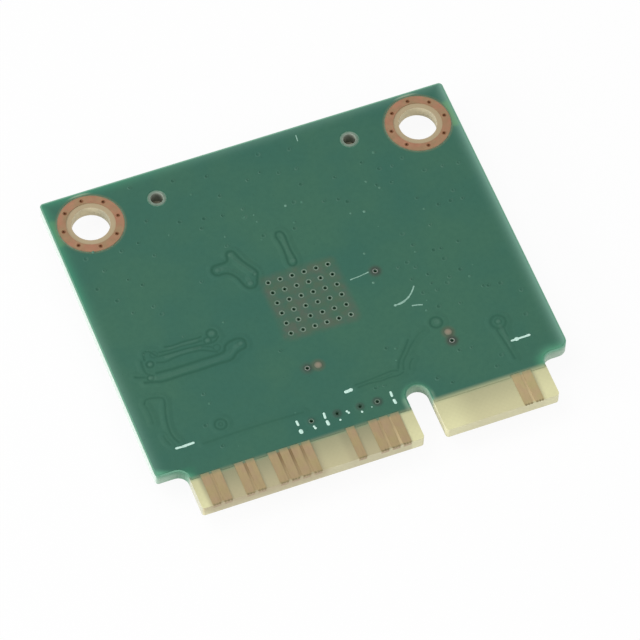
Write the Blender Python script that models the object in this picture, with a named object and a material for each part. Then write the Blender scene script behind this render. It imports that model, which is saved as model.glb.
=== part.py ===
"""Half-size wireless network card for a laptop, lying solder side up on its shield lid.

Sizes are in millimetres, and a mesh is turned into metres when its object is made. The card's
origin lies under the middle of the board, on the surface that the lid rests on. +X runs along
the contact edge, +Y goes from the contacts to the screw holes, and +Z goes up out of the solder
side. Places on the card are given as x from the middle and y from the edge with the contacts.
"""

import math

import bmesh
import bpy
from mathutils import Matrix

MM = 0.001

# Edge contacts: even numbers on the solder side, odd numbers on the component side
CONTACT_PITCH = 0.80
CONTACT_WIDTH = 0.60
CONTACT_LENGTH = 2.50
CONTACT_SETBACK = 0.03
LONG_GROUP = 18
SHORT_GROUP = 8
KEY_SPAN = 4.00
LONG_END_MARGIN = 1.05
SHORT_END_MARGIN = 1.45
UPPER_ABSENT = (6, 8, 10, 12, 14, 16, 24, 28, 30, 32, 42, 48)
LOWER_ABSENT = (3, 5, 17, 19, 45, 47, 49, 51)

# Board outline
BOARD_LENGTH = 26.75
SHOULDER_WIDTH = 2.075
SHOULDER_HEIGHT = 3.35
KEY_WIDTH = 1.60
KEY_DEPTH = 4.10
KEY_OFFSET = 0.05
TONGUE_CORNER = 0.22
TONGUE_ROOT = 0.75
SHOULDER_CORNER_LEFT = 0.25
SHOULDER_CORNER_RIGHT = 0.70
FAR_CORNER = 0.28

# Layers
LAMINATE = 0.92
COPPER = 0.035
MASK = 0.030
FILM_GAP = 0.005
COMPONENT_SPACE = 1.40

# Screw holes with their copper pads and the ring of vias through each pad
HOLE_DIAMETER = 2.70
HOLE_FROM_SIDE = 2.825
HOLE_FROM_END = 2.72
PAD_INNER = 3.44
PAD_OUTER = 4.68
PAD_VIAS = 8
PAD_VIA_CIRCLE = 3.96
PAD_RELIEF = 0.06

# Vias and the larger plated holes under the antenna receptacles
VIA_DIAMETER = 0.21
VIA_RELIEF = 0.10
GRID_SIDE = 6
GRID_PITCH = 0.873
GRID_CENTRE = (-0.22, 13.06)
LONE_VIAS = ((4.79, 13.58), (-2.38, 7.86), (7.62, 6.52))
FAN_OUT_VIAS = ((-3.64, 3.85), (-1.80, 3.81), (-0.15, 3.79), (1.08, 3.74))
PLATED_HOLE = 0.95
PLATED_LAND = 1.26
RECEPTACLE_FROM_HOLE = 4.97
RECEPTACLE_FROM_END = 2.32

# Solder mask
MASK_INSET = 0.12
MASK_EDGE = 2.38
MASK_STEP = 0.20
MASK_STEP_SIDE = 0.06
MASK_SLOPE = 0.05

# Shield: a fence soldered to the board, and a lid that clips over it
SHIELD_SHEET = 0.15
LID_FROM_SIDE = 1.45
LID_FROM_TONGUE = 2.10
LID_FROM_HOLE_END = 6.30
LID_CORNER = 0.60
INNER_CORNER = 0.05
LID_EDGE = 0.10
LID_SKIRT_LIFT = 0.30
LID_CLEARANCE = 0.03
SKIRT_FINGER = 2.40
SKIRT_SLOT = 0.45
SKIRT_SLOT_LIFT = 0.75
FENCE_FLANGE = 0.90
FENCE_FOOT = 1.60
FENCE_ARCH = 1.10
FENCE_ARCH_LIFT = 0.20
CUT_SLOPE = 0.06

# Coaxial antenna receptacle
INSULATOR_SIDE = 2.60
INSULATOR_HEIGHT = 0.35
INSULATOR_CORNER = 0.25
SHELL_DIAMETER = 1.96
SHELL_WALL = 0.16
SHELL_HEIGHT = 1.18
SHELL_GROOVE = 0.07
SHELL_LIP = 0.21
STRAP_WIDTH = 1.50
STRAP_SHEET = 0.12
STRAP_REACH = 0.22
PIN_DIAMETER = 0.42
PIN_HEIGHT = 1.00
PIN_POCKET = 0.15
PIN_CLEARANCE = 0.03

# Packages: length along X, width along Y, height off the board
RADIO_CHIP = (9.00, 9.00, 0.85)
FRONT_END_CHIP = (3.00, 3.00, 0.75)
MEMORY_CHIP = (3.00, 2.00, 0.60)
CRYSTAL = (3.20, 2.50, 0.70)
CRYSTAL_LID_INSET = 0.30
CRYSTAL_LID_HEIGHT = 0.25
POWER_INDUCTOR = (2.50, 2.00, 1.00)
BAND_FILTER = (2.00, 1.25, 0.80)
CAPACITOR = (1.00, 0.50, 0.50)
RESISTOR = (1.00, 0.50, 0.35)
MATCHING_COIL = (1.00, 0.50, 0.45)
TERMINAL = 0.26
TERMINAL_PROUD = 0.03
PACKAGE_CHAMFER = 0.06
DIMPLE = 0.50
DIMPLE_DEPTH = 0.05
DIMPLE_INSET = 0.60
PART_SPACING = 0.50

# Facets
CIRCLE_SIDES = 40
VIA_SIDES = 8
LAND_SIDES = 20
SHELL_SIDES = 28
PIN_SIDES = 16
PIN_TIP_ROWS = 3
DIMPLE_SIDES = 12
CORNER_STEPS = 5
ARC_SHARE = 0.998

CONTACT_RUN = (LONG_GROUP + SHORT_GROUP - 2) * CONTACT_PITCH + KEY_SPAN
TONGUE_WIDTH = LONG_END_MARGIN + CONTACT_RUN + SHORT_END_MARGIN
BOARD_WIDTH = TONGUE_WIDTH + 2 * SHOULDER_WIDTH
FIRST_CONTACT = LONG_END_MARGIN - TONGUE_WIDTH / 2
LAST_CONTACT = TONGUE_WIDTH / 2 - SHORT_END_MARGIN
KEY_CENTRE = FIRST_CONTACT + (LONG_GROUP - 1) * CONTACT_PITCH + KEY_SPAN / 2 + KEY_OFFSET
HOLE_X = BOARD_WIDTH / 2 - HOLE_FROM_SIDE
HOLE_Y = BOARD_LENGTH - HOLE_FROM_END
RECEPTACLE_X = HOLE_X - RECEPTACLE_FROM_HOLE
RECEPTACLE_Y = BOARD_LENGTH - RECEPTACLE_FROM_END
CONTACT_MIDDLE = CONTACT_SETBACK + CONTACT_LENGTH / 2

# Heights above the surface that the lid rests on
LOWER_FACE = COMPONENT_SPACE
UPPER_FACE = LOWER_FACE + LAMINATE
SEAT = LOWER_FACE - MASK - 2 * FILM_GAP
LID_INSIDE = SHIELD_SHEET


def contact_x(number):
    """The middle of a contact: the highest numbers are on the left, two sides share a place."""
    place = (LONG_GROUP + SHORT_GROUP) - (number + 1) // 2
    if place < LONG_GROUP:
        return FIRST_CONTACT + place * CONTACT_PITCH
    return LAST_CONTACT - (LONG_GROUP + SHORT_GROUP - 1 - place) * CONTACT_PITCH


def contact_numbers(first, absent):
    """The numbers of one side, from left to right."""
    highest = 2 * (LONG_GROUP + SHORT_GROUP) - 2 + first
    return [number for number in range(highest, 0, -2) if number not in absent]


def circle(x, y, diameter, sides):
    """Points of a circle, anticlockwise."""
    turns = [2 * math.pi * k / sides for k in range(sides)]
    return [(x + diameter / 2 * math.cos(t), y + diameter / 2 * math.sin(t)) for t in turns]


def rounded(corners, steps=CORNER_STEPS):
    """A closed outline from (x, y, radius) corners, each turned into an arc.

    Where two arcs on one side would meet, both are made smaller by the same share.
    """
    count = len(corners)
    halves, reaches = [], []
    for i, (x, y, radius) in enumerate(corners):
        before, after = corners[i - 1], corners[(i + 1) % count]
        turn = math.atan2(after[1] - y, after[0] - x) - math.atan2(before[1] - y, before[0] - x)
        half = abs((turn + math.pi) % (2 * math.pi) - math.pi) / 2
        halves.append(half)
        reaches.append(max(radius, 0.0) / math.tan(half))
    shares = [1.0] * count
    for i, (x, y, _) in enumerate(corners):
        j = (i + 1) % count
        room = ARC_SHARE * math.hypot(corners[j][0] - x, corners[j][1] - y)
        share = min(1.0, room / max(reaches[i] + reaches[j], room))
        shares[i], shares[j] = min(shares[i], share), min(shares[j], share)
    points = []
    for i, (x, y, _) in enumerate(corners):
        reach = reaches[i] * shares[i]
        if reach <= 0:
            points.append((x, y))
            continue
        points += corner_arc(corners[i - 1], (x, y), corners[(i + 1) % count],
                             reach, reach * math.tan(halves[i]), steps)
    return points


def corner_arc(before, corner, after, reach, radius, steps):
    """The arc that touches both sides of a corner at the same reach from it."""
    x, y = corner
    a_length = math.hypot(before[0] - x, before[1] - y)
    b_length = math.hypot(after[0] - x, after[1] - y)
    ax, ay = (before[0] - x) / a_length, (before[1] - y) / a_length
    bx, by = (after[0] - x) / b_length, (after[1] - y) / b_length
    middle = math.hypot(ax + bx, ay + by)
    away = math.hypot(reach, radius)
    cx, cy = x + away * (ax + bx) / middle, y + away * (ay + by) / middle
    start = math.atan2(y + reach * ay - cy, x + reach * ax - cx)
    end = math.atan2(y + reach * by - cy, x + reach * bx - cx)
    sweep = (end - start + math.pi) % (2 * math.pi) - math.pi
    turns = [start + sweep * k / steps for k in range(steps + 1)]
    return [(cx + radius * math.cos(t), cy + radius * math.sin(t)) for t in turns]


def rectangle(x, y, length, width, radius=0.0):
    """Corners of a rectangle about its middle, anticlockwise."""
    a, b = length / 2, width / 2
    return [(x - a, y - b, radius), (x + a, y - b, radius),
            (x + a, y + b, radius), (x - a, y + b, radius)]


def add_loop(bm, points, z):
    """One closed row of points at a height, or at a height for each point."""
    heights = z if isinstance(z, (list, tuple)) else [z] * len(points)
    return [bm.verts.new((x, y, h)) for (x, y), h in zip(points, heights)]


def add_wall(bm, lower, upper):
    """Four-sided faces between two rows with as many points."""
    for i, point in enumerate(lower):
        j = (i + 1) % len(lower)
        bm.faces.new((point, lower[j], upper[j], upper[i]))


def add_cover(bm, loops):
    """Flat triangles that fill the first row and leave the others open."""
    edges = []
    for loop in loops:
        for i, point in enumerate(loop):
            pair = (point, loop[(i + 1) % len(loop)])
            edges.append(bm.edges.get(pair) or bm.edges.new(pair))
    bmesh.ops.triangle_fill(bm, edges=edges, use_beauty=True, use_dissolve=False)


def plate(outline, holes, z0, z1, strips=(), strip_height=0.0):
    """A flat plate with holes through it, and low strips standing out of its lower face."""
    bm = bmesh.new()
    lower = [add_loop(bm, points, z0) for points in [outline, *holes]]
    upper = [add_loop(bm, points, z1) for points in [outline, *holes]]
    for low, high in zip(lower, upper):
        add_wall(bm, low, high)
    roots = [add_loop(bm, points, z0) for points in strips]
    for points, root in zip(strips, roots):
        face = add_loop(bm, points, z0 - strip_height)
        add_wall(bm, root, face)
        bm.faces.new(face)
    add_cover(bm, lower + roots)
    add_cover(bm, upper)
    return bm


def loft(rows, ring=False):
    """A skin over rows of points, each (points, z): capped at both ends, or closed as a ring."""
    bm = bmesh.new()
    loops = [add_loop(bm, points, z) for points, z in rows]
    for low, high in zip(loops, loops[1:]):
        add_wall(bm, low, high)
    if ring:
        add_wall(bm, loops[-1], loops[0])
    else:
        bm.faces.new(loops[0])
        bm.faces.new(loops[-1])
    return bm


def srgb(red, green, blue):
    """A colour as seen, from 0 to 255, as the linear value that a shader takes."""
    parts = [c / 255 for c in (red, green, blue)]
    return [c / 12.92 if c <= 0.04045 else ((c + 0.055) / 1.055) ** 2.4 for c in parts]


def make_material(name, colour, roughness, metallic=0.0):
    material = bpy.data.materials.new(name)
    material.use_nodes = True
    shader = material.node_tree.nodes["Principled BSDF"]
    shader.inputs["Base Color"].default_value = (*srgb(*colour), 1.0)
    shader.inputs["Roughness"].default_value = roughness
    shader.inputs["Metallic"].default_value = metallic
    return material


def make_object(name, bm, material, x=0.0, y=BOARD_LENGTH / 2, z=0.0, smooth=False):
    """Turns a mesh into metres and places it by its card coordinates."""
    bmesh.ops.recalc_face_normals(bm, faces=bm.faces)
    bm.transform(Matrix.Scale(MM, 4))
    mesh = bpy.data.meshes.new(name)
    bm.to_mesh(mesh)
    bm.free()
    if smooth:
        mesh.shade_smooth()
        mesh.set_sharp_from_angle(angle=math.radians(35))
    mesh.materials.append(material)
    placed = bpy.data.objects.new(name, mesh)
    placed.location = (x * MM, (y - BOARD_LENGTH / 2) * MM, z * MM)
    placed.parent = bpy.data.objects["card"]
    bpy.context.scene.collection.objects.link(placed)
    return placed


def to_board(points):
    """Card coordinates turned into the board's own, whose origin is its middle."""
    return [(x, y - BOARD_LENGTH / 2) for x, y in points]


def board_outline():
    """The tongue with its key slot, the two shoulders and the far corners."""
    side, half = BOARD_WIDTH / 2, TONGUE_WIDTH / 2
    left_of_key, right_of_key = KEY_CENTRE - KEY_WIDTH / 2, KEY_CENTRE + KEY_WIDTH / 2
    key_round = KEY_WIDTH / 2
    return to_board(rounded([
        (-half, 0.0, TONGUE_CORNER),
        (left_of_key, 0.0, TONGUE_CORNER),
        (left_of_key, KEY_DEPTH, key_round),
        (right_of_key, KEY_DEPTH, key_round),
        (right_of_key, 0.0, TONGUE_CORNER),
        (half, 0.0, TONGUE_CORNER),
        (half, SHOULDER_HEIGHT, TONGUE_ROOT),
        (side, SHOULDER_HEIGHT, SHOULDER_CORNER_RIGHT),
        (side, BOARD_LENGTH, FAR_CORNER),
        (-side, BOARD_LENGTH, FAR_CORNER),
        (-side, SHOULDER_HEIGHT, SHOULDER_CORNER_LEFT),
        (-half, SHOULDER_HEIGHT, TONGUE_ROOT),
    ]))


def mask_edge(numbers):
    """The mask's edge above the contacts: it steps back over each run of contacts."""
    high = MASK_EDGE + MASK_STEP
    reach = CONTACT_WIDTH / 2 + MASK_STEP_SIDE
    runs = []
    for number in numbers:
        x = contact_x(number)
        if runs and x - runs[-1][1] < 1.5 * CONTACT_PITCH:
            runs[-1][1] = x
        else:
            runs.append([x, x])
    corners = []
    for first, last in runs:
        corners += [(first - reach - MASK_SLOPE, MASK_EDGE, 0), (first - reach, high, 0),
                    (last + reach, high, 0), (last + reach + MASK_SLOPE, MASK_EDGE, 0)]
    return corners


def mask_outline(numbers):
    """The board's outline pulled in all round, cut off above the contacts."""
    side, half = BOARD_WIDTH / 2 - MASK_INSET, TONGUE_WIDTH / 2 - MASK_INSET
    shoulder, end = SHOULDER_HEIGHT + MASK_INSET, BOARD_LENGTH - MASK_INSET
    left_of_key = KEY_CENTRE - KEY_WIDTH / 2 - MASK_INSET
    right_of_key = KEY_CENTRE + KEY_WIDTH / 2 + MASK_INSET
    key_round = KEY_WIDTH / 2 + MASK_INSET
    above = mask_edge(numbers)
    return to_board(rounded([
        (-half, MASK_EDGE, 0),
        *[corner for corner in above if corner[0] < KEY_CENTRE],
        (left_of_key, MASK_EDGE, 0),
        (left_of_key, KEY_DEPTH + MASK_INSET, key_round),
        (right_of_key, KEY_DEPTH + MASK_INSET, key_round),
        (right_of_key, MASK_EDGE, 0),
        *[corner for corner in above if corner[0] > KEY_CENTRE],
        (half, MASK_EDGE, 0),
        (half, shoulder, TONGUE_ROOT + MASK_INSET),
        (side, shoulder, SHOULDER_CORNER_RIGHT - MASK_INSET),
        (side, end, FAR_CORNER - MASK_INSET),
        (-side, end, FAR_CORNER - MASK_INSET),
        (-side, shoulder, SHOULDER_CORNER_LEFT - MASK_INSET),
        (-half, shoulder, TONGUE_ROOT + MASK_INSET),
    ], 4))


def grid_vias():
    """The square of vias that carries heat away from the radio chip."""
    offsets = [(k - (GRID_SIDE - 1) / 2) * GRID_PITCH for k in range(GRID_SIDE)]
    return [(GRID_CENTRE[0] + dx, GRID_CENTRE[1] + dy) for dy in offsets for dx in offsets]


def pad_vias(x, y):
    """The ring of vias through one screw pad."""
    return circle(x, y, PAD_VIA_CIRCLE, PAD_VIAS)


def drilled(places, diameter, sides=VIA_SIDES):
    """One round outline for each place, in the board's own coordinates."""
    return [to_board(circle(x, y, diameter, sides)) for x, y in places]


def screw_places():
    return [(-HOLE_X, HOLE_Y), (HOLE_X, HOLE_Y)]


def receptacle_places():
    return [(-RECEPTACLE_X, RECEPTACLE_Y), (RECEPTACLE_X, RECEPTACLE_Y)]


def make_board(material):
    """The laminate, with every hole through it and the component side's contacts on its tongue."""
    holes = drilled(screw_places(), HOLE_DIAMETER, CIRCLE_SIDES)
    holes += drilled(receptacle_places(), PLATED_HOLE, LAND_SIDES)
    holes += drilled(grid_vias() + list(LONE_VIAS + FAN_OUT_VIAS), VIA_DIAMETER)
    for place in screw_places():
        holes += drilled(pad_vias(*place), VIA_DIAMETER)
    strips = []
    for number in contact_numbers(1, LOWER_ABSENT):
        corners = rectangle(contact_x(number), CONTACT_MIDDLE, CONTACT_WIDTH, CONTACT_LENGTH)
        strips.append(to_board(rounded(corners)))
    strip_height = COPPER + FILM_GAP
    bm = plate(board_outline(), holes, LOWER_FACE, UPPER_FACE, strips, strip_height)
    return make_object("circuit_board", bm, material)


def make_masks(material):
    """The green skins on both sides, open over the pads, the vias and the larger holes."""
    pads = drilled(screw_places(), PAD_OUTER + 2 * PAD_RELIEF, CIRCLE_SIDES)
    lands = drilled(receptacle_places(), PLATED_LAND + 2 * PAD_RELIEF, LAND_SIDES)
    open_via = VIA_DIAMETER + 2 * VIA_RELIEF
    vias = drilled(grid_vias() + list(LONE_VIAS + FAN_OUT_VIAS), open_via)
    low = UPPER_FACE + FILM_GAP
    outline = mask_outline(contact_numbers(2, UPPER_ABSENT))
    upper = plate(outline, pads + lands + vias, low, low + MASK)
    make_object("upper_solder_mask", upper, material)
    high = LOWER_FACE - FILM_GAP
    outline = mask_outline(contact_numbers(1, LOWER_ABSENT))
    lower = plate(outline, pads, high - MASK, high)
    make_object("lower_solder_mask", lower, material)


def make_contacts(material):
    """The solder side's contacts, each a strip of foil that stops short of the mask."""
    low = UPPER_FACE + FILM_GAP
    for number in contact_numbers(2, UPPER_ABSENT):
        outline = rounded(rectangle(0, 0, CONTACT_WIDTH, CONTACT_LENGTH))
        bm = plate(outline, [], 0, COPPER)
        name = f"contact_{number:02d}"
        make_object(name, bm, material, contact_x(number), CONTACT_MIDDLE, low)


def make_screw_pads(material):
    """The copper rings round the screw holes, on both sides, with their vias."""
    sides = {"upper": UPPER_FACE + FILM_GAP, "lower": LOWER_FACE - FILM_GAP - COPPER}
    outline = circle(0, 0, PAD_OUTER, CIRCLE_SIDES)
    vias = [circle(x, y, VIA_DIAMETER, VIA_SIDES) for x, y in pad_vias(0, 0)]
    inner = circle(0, 0, PAD_INNER, CIRCLE_SIDES)
    for side, low in sides.items():
        for hand, (x, y) in zip(("left", "right"), screw_places()):
            bm = plate(outline, [inner, *vias], 0, COPPER)
            make_object(f"screw_pad_{hand}_{side}", bm, material, x, y, low)


def make_plated_lands(material):
    """The tinned rim round each hole over an antenna receptacle."""
    for hand, (x, y) in zip(("left", "right"), receptacle_places()):
        hole = circle(0, 0, PLATED_HOLE, LAND_SIDES)
        bm = plate(circle(0, 0, PLATED_LAND, LAND_SIDES), [hole], 0, COPPER)
        make_object(f"plated_land_{hand}", bm, material, x, y, UPPER_FACE + FILM_GAP)


def shield_box(inset):
    """The shield's outline at a distance inside the lid's outer face, as (x, y, radius)."""
    length = BOARD_WIDTH - 2 * LID_FROM_SIDE - 2 * inset
    near = SHOULDER_HEIGHT + LID_FROM_TONGUE + inset
    far = BOARD_LENGTH - LID_FROM_HOLE_END - inset
    radius = max(LID_CORNER - inset, INNER_CORNER)
    return rectangle(0, (near + far) / 2, length, far - near, radius)


def cut_side(start, end, solid, cut):
    """Stations along one straight side, as (share of the side, 1 in a cut or 0 elsewhere).

    The cuts are as many as fit between solid stretches at both ends, and their ends slope.
    """
    length = math.hypot(end[0] - start[0], end[1] - start[1])
    count = max(int((length - solid) / (solid + cut)), 0)
    margin = (length - count * cut - (count - 1) * solid) / 2 if count else 0
    stations = []
    for k in range(count):
        begin = margin + k * (solid + cut)
        stations += [(begin, 0), (begin + CUT_SLOPE, 1),
                     (begin + cut - CUT_SLOPE, 1), (begin + cut, 0)]
    return [(at / length, state) for at, state in stations]


def cut_outline(insets, solid, cut):
    """The shield's outline at several insets with matching points, and which of them are cut.

    The first inset places the cuts, and the others follow it, so that walls between them stay
    square to the side.
    """
    outlines = [rounded(shield_box(inset), 3) for inset in insets]
    rows, cuts = [[] for _ in insets], []
    for i in range(len(outlines[0])):
        j = (i + 1) % len(outlines[0])
        for row, outline in zip(rows, outlines):
            row.append(outline[i])
        cuts.append(0)
        if i % 4 != 3:
            continue
        for share, state in cut_side(outlines[0][i], outlines[0][j], solid, cut):
            for row, outline in zip(rows, outlines):
                (ax, ay), (bx, by) = outline[i], outline[j]
                row.append((ax + share * (bx - ax), ay + share * (by - ay)))
            cuts.append(state)
    return [to_board(row) for row in rows], cuts


def make_shield_lid(material):
    """A drawn tray: a flat face, and skirts cut into spring fingers round the fence."""
    insets = [0, LID_EDGE, SHIELD_SHEET]
    (outer, face, inner), cuts = cut_outline(insets, SKIRT_FINGER, SKIRT_SLOT)
    rims = [SEAT - LID_SKIRT_LIFT - SKIRT_SLOT_LIFT * cut for cut in cuts]
    rows = [(face, 0.0), (outer, LID_EDGE), (outer, rims), (inner, rims), (inner, LID_INSIDE)]
    make_object("shield_lid", loft(rows), material)


def make_shield_fence(material):
    """The fence inside the lid: walls on arched feet, with a flange turned in under the lid."""
    outside = SHIELD_SHEET + LID_CLEARANCE
    inside = outside + SHIELD_SHEET
    insets = [outside, inside, inside + FENCE_FLANGE]
    (outer, inner, lip), cuts = cut_outline(insets, FENCE_FOOT, FENCE_ARCH)
    feet = [SEAT - FENCE_ARCH_LIFT * cut for cut in cuts]
    flange = LID_INSIDE + LID_CLEARANCE
    rows = [(outer, feet), (outer, flange), (lip, flange), (lip, flange + SHIELD_SHEET),
            (inner, flange + SHIELD_SHEET), (inner, feet)]
    make_object("shield_fence", loft(rows, ring=True), material)


def make_package(name, size, material, x, y, dimple=False):
    """A moulded package with its free edges chamfered and a round mark for its first corner."""
    length, width, height = size
    base = rounded(rectangle(0, 0, length, width, PACKAGE_CHAMFER), 1)
    face = rounded(rectangle(0, 0, length - 2 * PACKAGE_CHAMFER,
                             width - 2 * PACKAGE_CHAMFER, PACKAGE_CHAMFER), 1)
    bm = bmesh.new()
    seat, rim, flat = (add_loop(bm, points, -z) for points, z in
                       ((base, 0), (base, height - PACKAGE_CHAMFER), (face, height)))
    add_wall(bm, seat, rim)
    add_wall(bm, rim, flat)
    bm.faces.new(seat)
    marks = []
    if dimple:
        place = DIMPLE_INSET - length / 2, width / 2 - DIMPLE_INSET
        mark = circle(*place, DIMPLE, DIMPLE_SIDES)
        marks = [add_loop(bm, mark, -height)]
        floor = add_loop(bm, mark, DIMPLE_DEPTH - height)
        add_wall(bm, marks[0], floor)
        bm.faces.new(floor)
    add_cover(bm, [flat, *marks])
    return make_object(name, bm, material, x, y, SEAT)


def make_chip_part(name, size, material, x, y, upright=False):
    """A block with a cap of metal at each end that stands a little proud of it all round."""
    length, width, height = size
    small = 2 * TERMINAL_PROUD
    stations = [(0, small), (TERMINAL_PROUD, 0), (TERMINAL - TERMINAL_PROUD, 0),
                (TERMINAL, small)]
    stations += [(length - at, less) for at, less in reversed(stations)]
    bm = bmesh.new()
    loops = []
    for at, less in stations:
        a, b = (width - less) / 2, less / 2
        section = ((-a, -b), (a, -b), (a, b - height), (-a, b - height))
        loops.append([bm.verts.new((at - length / 2, y0, z0)) for y0, z0 in section])
    for low, high in zip(loops, loops[1:]):
        add_wall(bm, low, high)
    bm.faces.new(loops[0])
    bm.faces.new(loops[-1])
    if upright:
        bm.transform(Matrix.Rotation(math.pi / 2, 4, "Z"))
    return make_object(name, bm, material, x, y, SEAT)


def make_crystal(material, x, y):
    """A ceramic tray with a metal lid seated on it, smaller all round."""
    length, width, height = CRYSTAL
    tray = rounded(rectangle(0, 0, length, width, PACKAGE_CHAMFER), 2)
    lid = rounded(rectangle(0, 0, length - 2 * CRYSTAL_LID_INSET,
                            width - 2 * CRYSTAL_LID_INSET, PACKAGE_CHAMFER), 2)
    rim = CRYSTAL_LID_HEIGHT - height
    bm = loft([(tray, 0), (tray, rim), (lid, rim), (lid, -height)])
    return make_object("crystal", bm, material, x, y, SEAT)


def make_insulator(name, material, x, y):
    """The receptacle's square base with a blind pocket for its pin."""
    steps = SHELL_SIDES // 4 - 1
    corners = rectangle(0, 0, INSULATOR_SIDE, INSULATOR_SIDE, INSULATOR_CORNER)
    square = rounded(corners[2:] + corners[:2], steps)
    turn = 2 * math.pi / len(square)
    radius = PIN_DIAMETER / 2 + PIN_CLEARANCE
    pocket = [(radius * math.cos((k + 0.5) * turn), radius * math.sin((k + 0.5) * turn))
              for k in range(len(square))]
    face = -INSULATOR_HEIGHT
    bm = loft([(square, 0), (square, face), (pocket, face), (pocket, face + PIN_POCKET)])
    make_object(name, bm, material, x, y, SEAT, smooth=True)


def make_shell(name, material, x, y):
    """The receptacle's turned shell, joined to a strap whose feet reach down beside the base."""
    outer, groove = SHELL_DIAMETER, SHELL_DIAMETER - 2 * SHELL_GROOVE
    bore = SHELL_DIAMETER - 2 * SHELL_WALL - 2 * SHELL_GROOVE
    root = -INSULATOR_HEIGHT - PIN_CLEARANCE
    top = -SHELL_HEIGHT
    lip = top + SHELL_LIP
    profile = [(bore, root), (outer, root), (outer, root - STRAP_SHEET),
               (groove, root - STRAP_SHEET - SHELL_GROOVE), (groove, lip),
               (outer, lip - SHELL_GROOVE), (outer, top + SHELL_GROOVE),
               (outer - SHELL_GROOVE, top), (bore + SHELL_GROOVE, top), (bore, top + SHELL_GROOVE)]
    rows = [(circle(0, 0, diameter, SHELL_SIDES), z) for diameter, z in profile]
    shell = make_object(name, loft(rows, ring=True), material, x, y, SEAT, smooth=True)
    shell.modifiers.new("strap", "BOOLEAN").operation = "UNION"
    shell.modifiers["strap"].object = make_strap(f"{name}_strap", material, x, y)


def make_strap(name, material, x, y):
    """A bent strap over the base, with a round window as wide as the shell's middle."""
    half = INSULATOR_SIDE / 2 + PIN_CLEARANCE
    low = -INSULATOR_HEIGHT - PIN_CLEARANCE
    high = low - STRAP_SHEET
    toe = half + STRAP_SHEET + STRAP_REACH
    bend = [(-toe, 0), (-toe, -STRAP_SHEET), (-half - STRAP_SHEET, -STRAP_SHEET),
            (-half - STRAP_SHEET, high)]
    under = [(-half, 0), (-half, low)]
    window = SHELL_DIAMETER / 2 - SHELL_GROOVE - SHELL_WALL / 2
    bm = bmesh.new()
    for side in (-1, 1):
        section = bend + [(-window, high), (-window, low)] + under[::-1]
        front, back = ([bm.verts.new((side * px, py, pz)) for px, pz in section]
                       for py in (-STRAP_WIDTH / 2, STRAP_WIDTH / 2))
        add_wall(bm, front, back)
        bm.faces.new(front)
        bm.faces.new(back)
    strap = make_object(name, bm, material, x, y, SEAT)
    strap.hide_render = True
    strap.display_type = "WIRE"
    return strap


def make_pin(name, material, x, y):
    """The receptacle's centre pin, with a rounded tip, standing in the base's pocket."""
    foot = -INSULATOR_HEIGHT + PIN_POCKET - PIN_CLEARANCE
    radius = PIN_DIAMETER / 2
    rows = [(circle(0, 0, PIN_DIAMETER, PIN_SIDES), foot)]
    for k in range(PIN_TIP_ROWS + 1):
        turn = k * math.pi / 2 / (PIN_TIP_ROWS + 1)
        rows.append((circle(0, 0, PIN_DIAMETER * math.cos(turn), PIN_SIDES),
                     radius - PIN_HEIGHT - radius * math.sin(turn)))
    make_object(name, loft(rows), material, x, y, SEAT, smooth=True)


def make_receptacles(plastic, metal):
    for hand, (x, y) in zip(("left", "right"), receptacle_places()):
        make_insulator(f"receptacle_base_{hand}", plastic, x, y)
        make_shell(f"receptacle_shell_{hand}", metal, x, y)
        make_pin(f"receptacle_pin_{hand}", metal, x, y)


def row_of_parts(name, size, material, start, count, step, upright=False):
    """Several like chip parts in a straight row, numbered from one."""
    for k in range(count):
        x, y = start[0] + k * step[0], start[1] + k * step[1]
        make_chip_part(f"{name}_{k + 1}", size, material, x, y, upright)


def make_shielded_parts(black, ceramic, dark, tan):
    """What the shield covers: the radio chip and, round it, what it works with."""
    chip_x, chip_y = GRID_CENTRE
    beside = RADIO_CHIP[0] / 2 + PART_SPACING
    make_package("radio_chip", RADIO_CHIP, black, chip_x, chip_y, dimple=True)
    upper_row = chip_y + RADIO_CHIP[1] / 2 - FRONT_END_CHIP[1] / 2
    lower_row = chip_y - RADIO_CHIP[1] / 2
    far = beside + CAPACITOR[1] + PART_SPACING
    front_end = far + FRONT_END_CHIP[0] / 2
    for hand, side in (("left", -1), ("right", 1)):
        x = chip_x + side * front_end
        make_package(f"front_end_chip_{hand}", FRONT_END_CHIP, black, x, upper_row, dimple=True)
        beyond = upper_row + FRONT_END_CHIP[1] / 2 + PART_SPACING + BAND_FILTER[1] / 2
        make_chip_part(f"band_filter_{hand}", BAND_FILTER, ceramic, x, beyond)
    inductor_x = chip_x - far - POWER_INDUCTOR[0] / 2
    row = lower_row + POWER_INDUCTOR[1] / 2
    make_chip_part("power_inductor_1", POWER_INDUCTOR, dark, inductor_x, row)
    next_row = row + POWER_INDUCTOR[1] / 2 + PART_SPACING + CAPACITOR[1] / 2
    make_chip_part("bulk_capacitor_1", CAPACITOR, tan, inductor_x, next_row)
    crystal_x = chip_x + far + CRYSTAL[0] / 2
    row = lower_row + CRYSTAL[1] / 2
    make_crystal(ceramic, crystal_x, row)
    memory_y = row + CRYSTAL[1] / 2 + PART_SPACING + MEMORY_CHIP[1] / 2
    make_package("memory_chip", MEMORY_CHIP, black, crystal_x, memory_y, dimple=True)
    step = CAPACITOR[0] + PART_SPACING
    for hand, side in (("left", -1), ("right", 1)):
        x = chip_x + side * (beside + CAPACITOR[1] / 2)
        start = (x, lower_row + CAPACITOR[0] / 2)
        row_of_parts(f"decoupling_capacitor_{hand}", CAPACITOR, tan, start, 3, (0, step), True)


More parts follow.
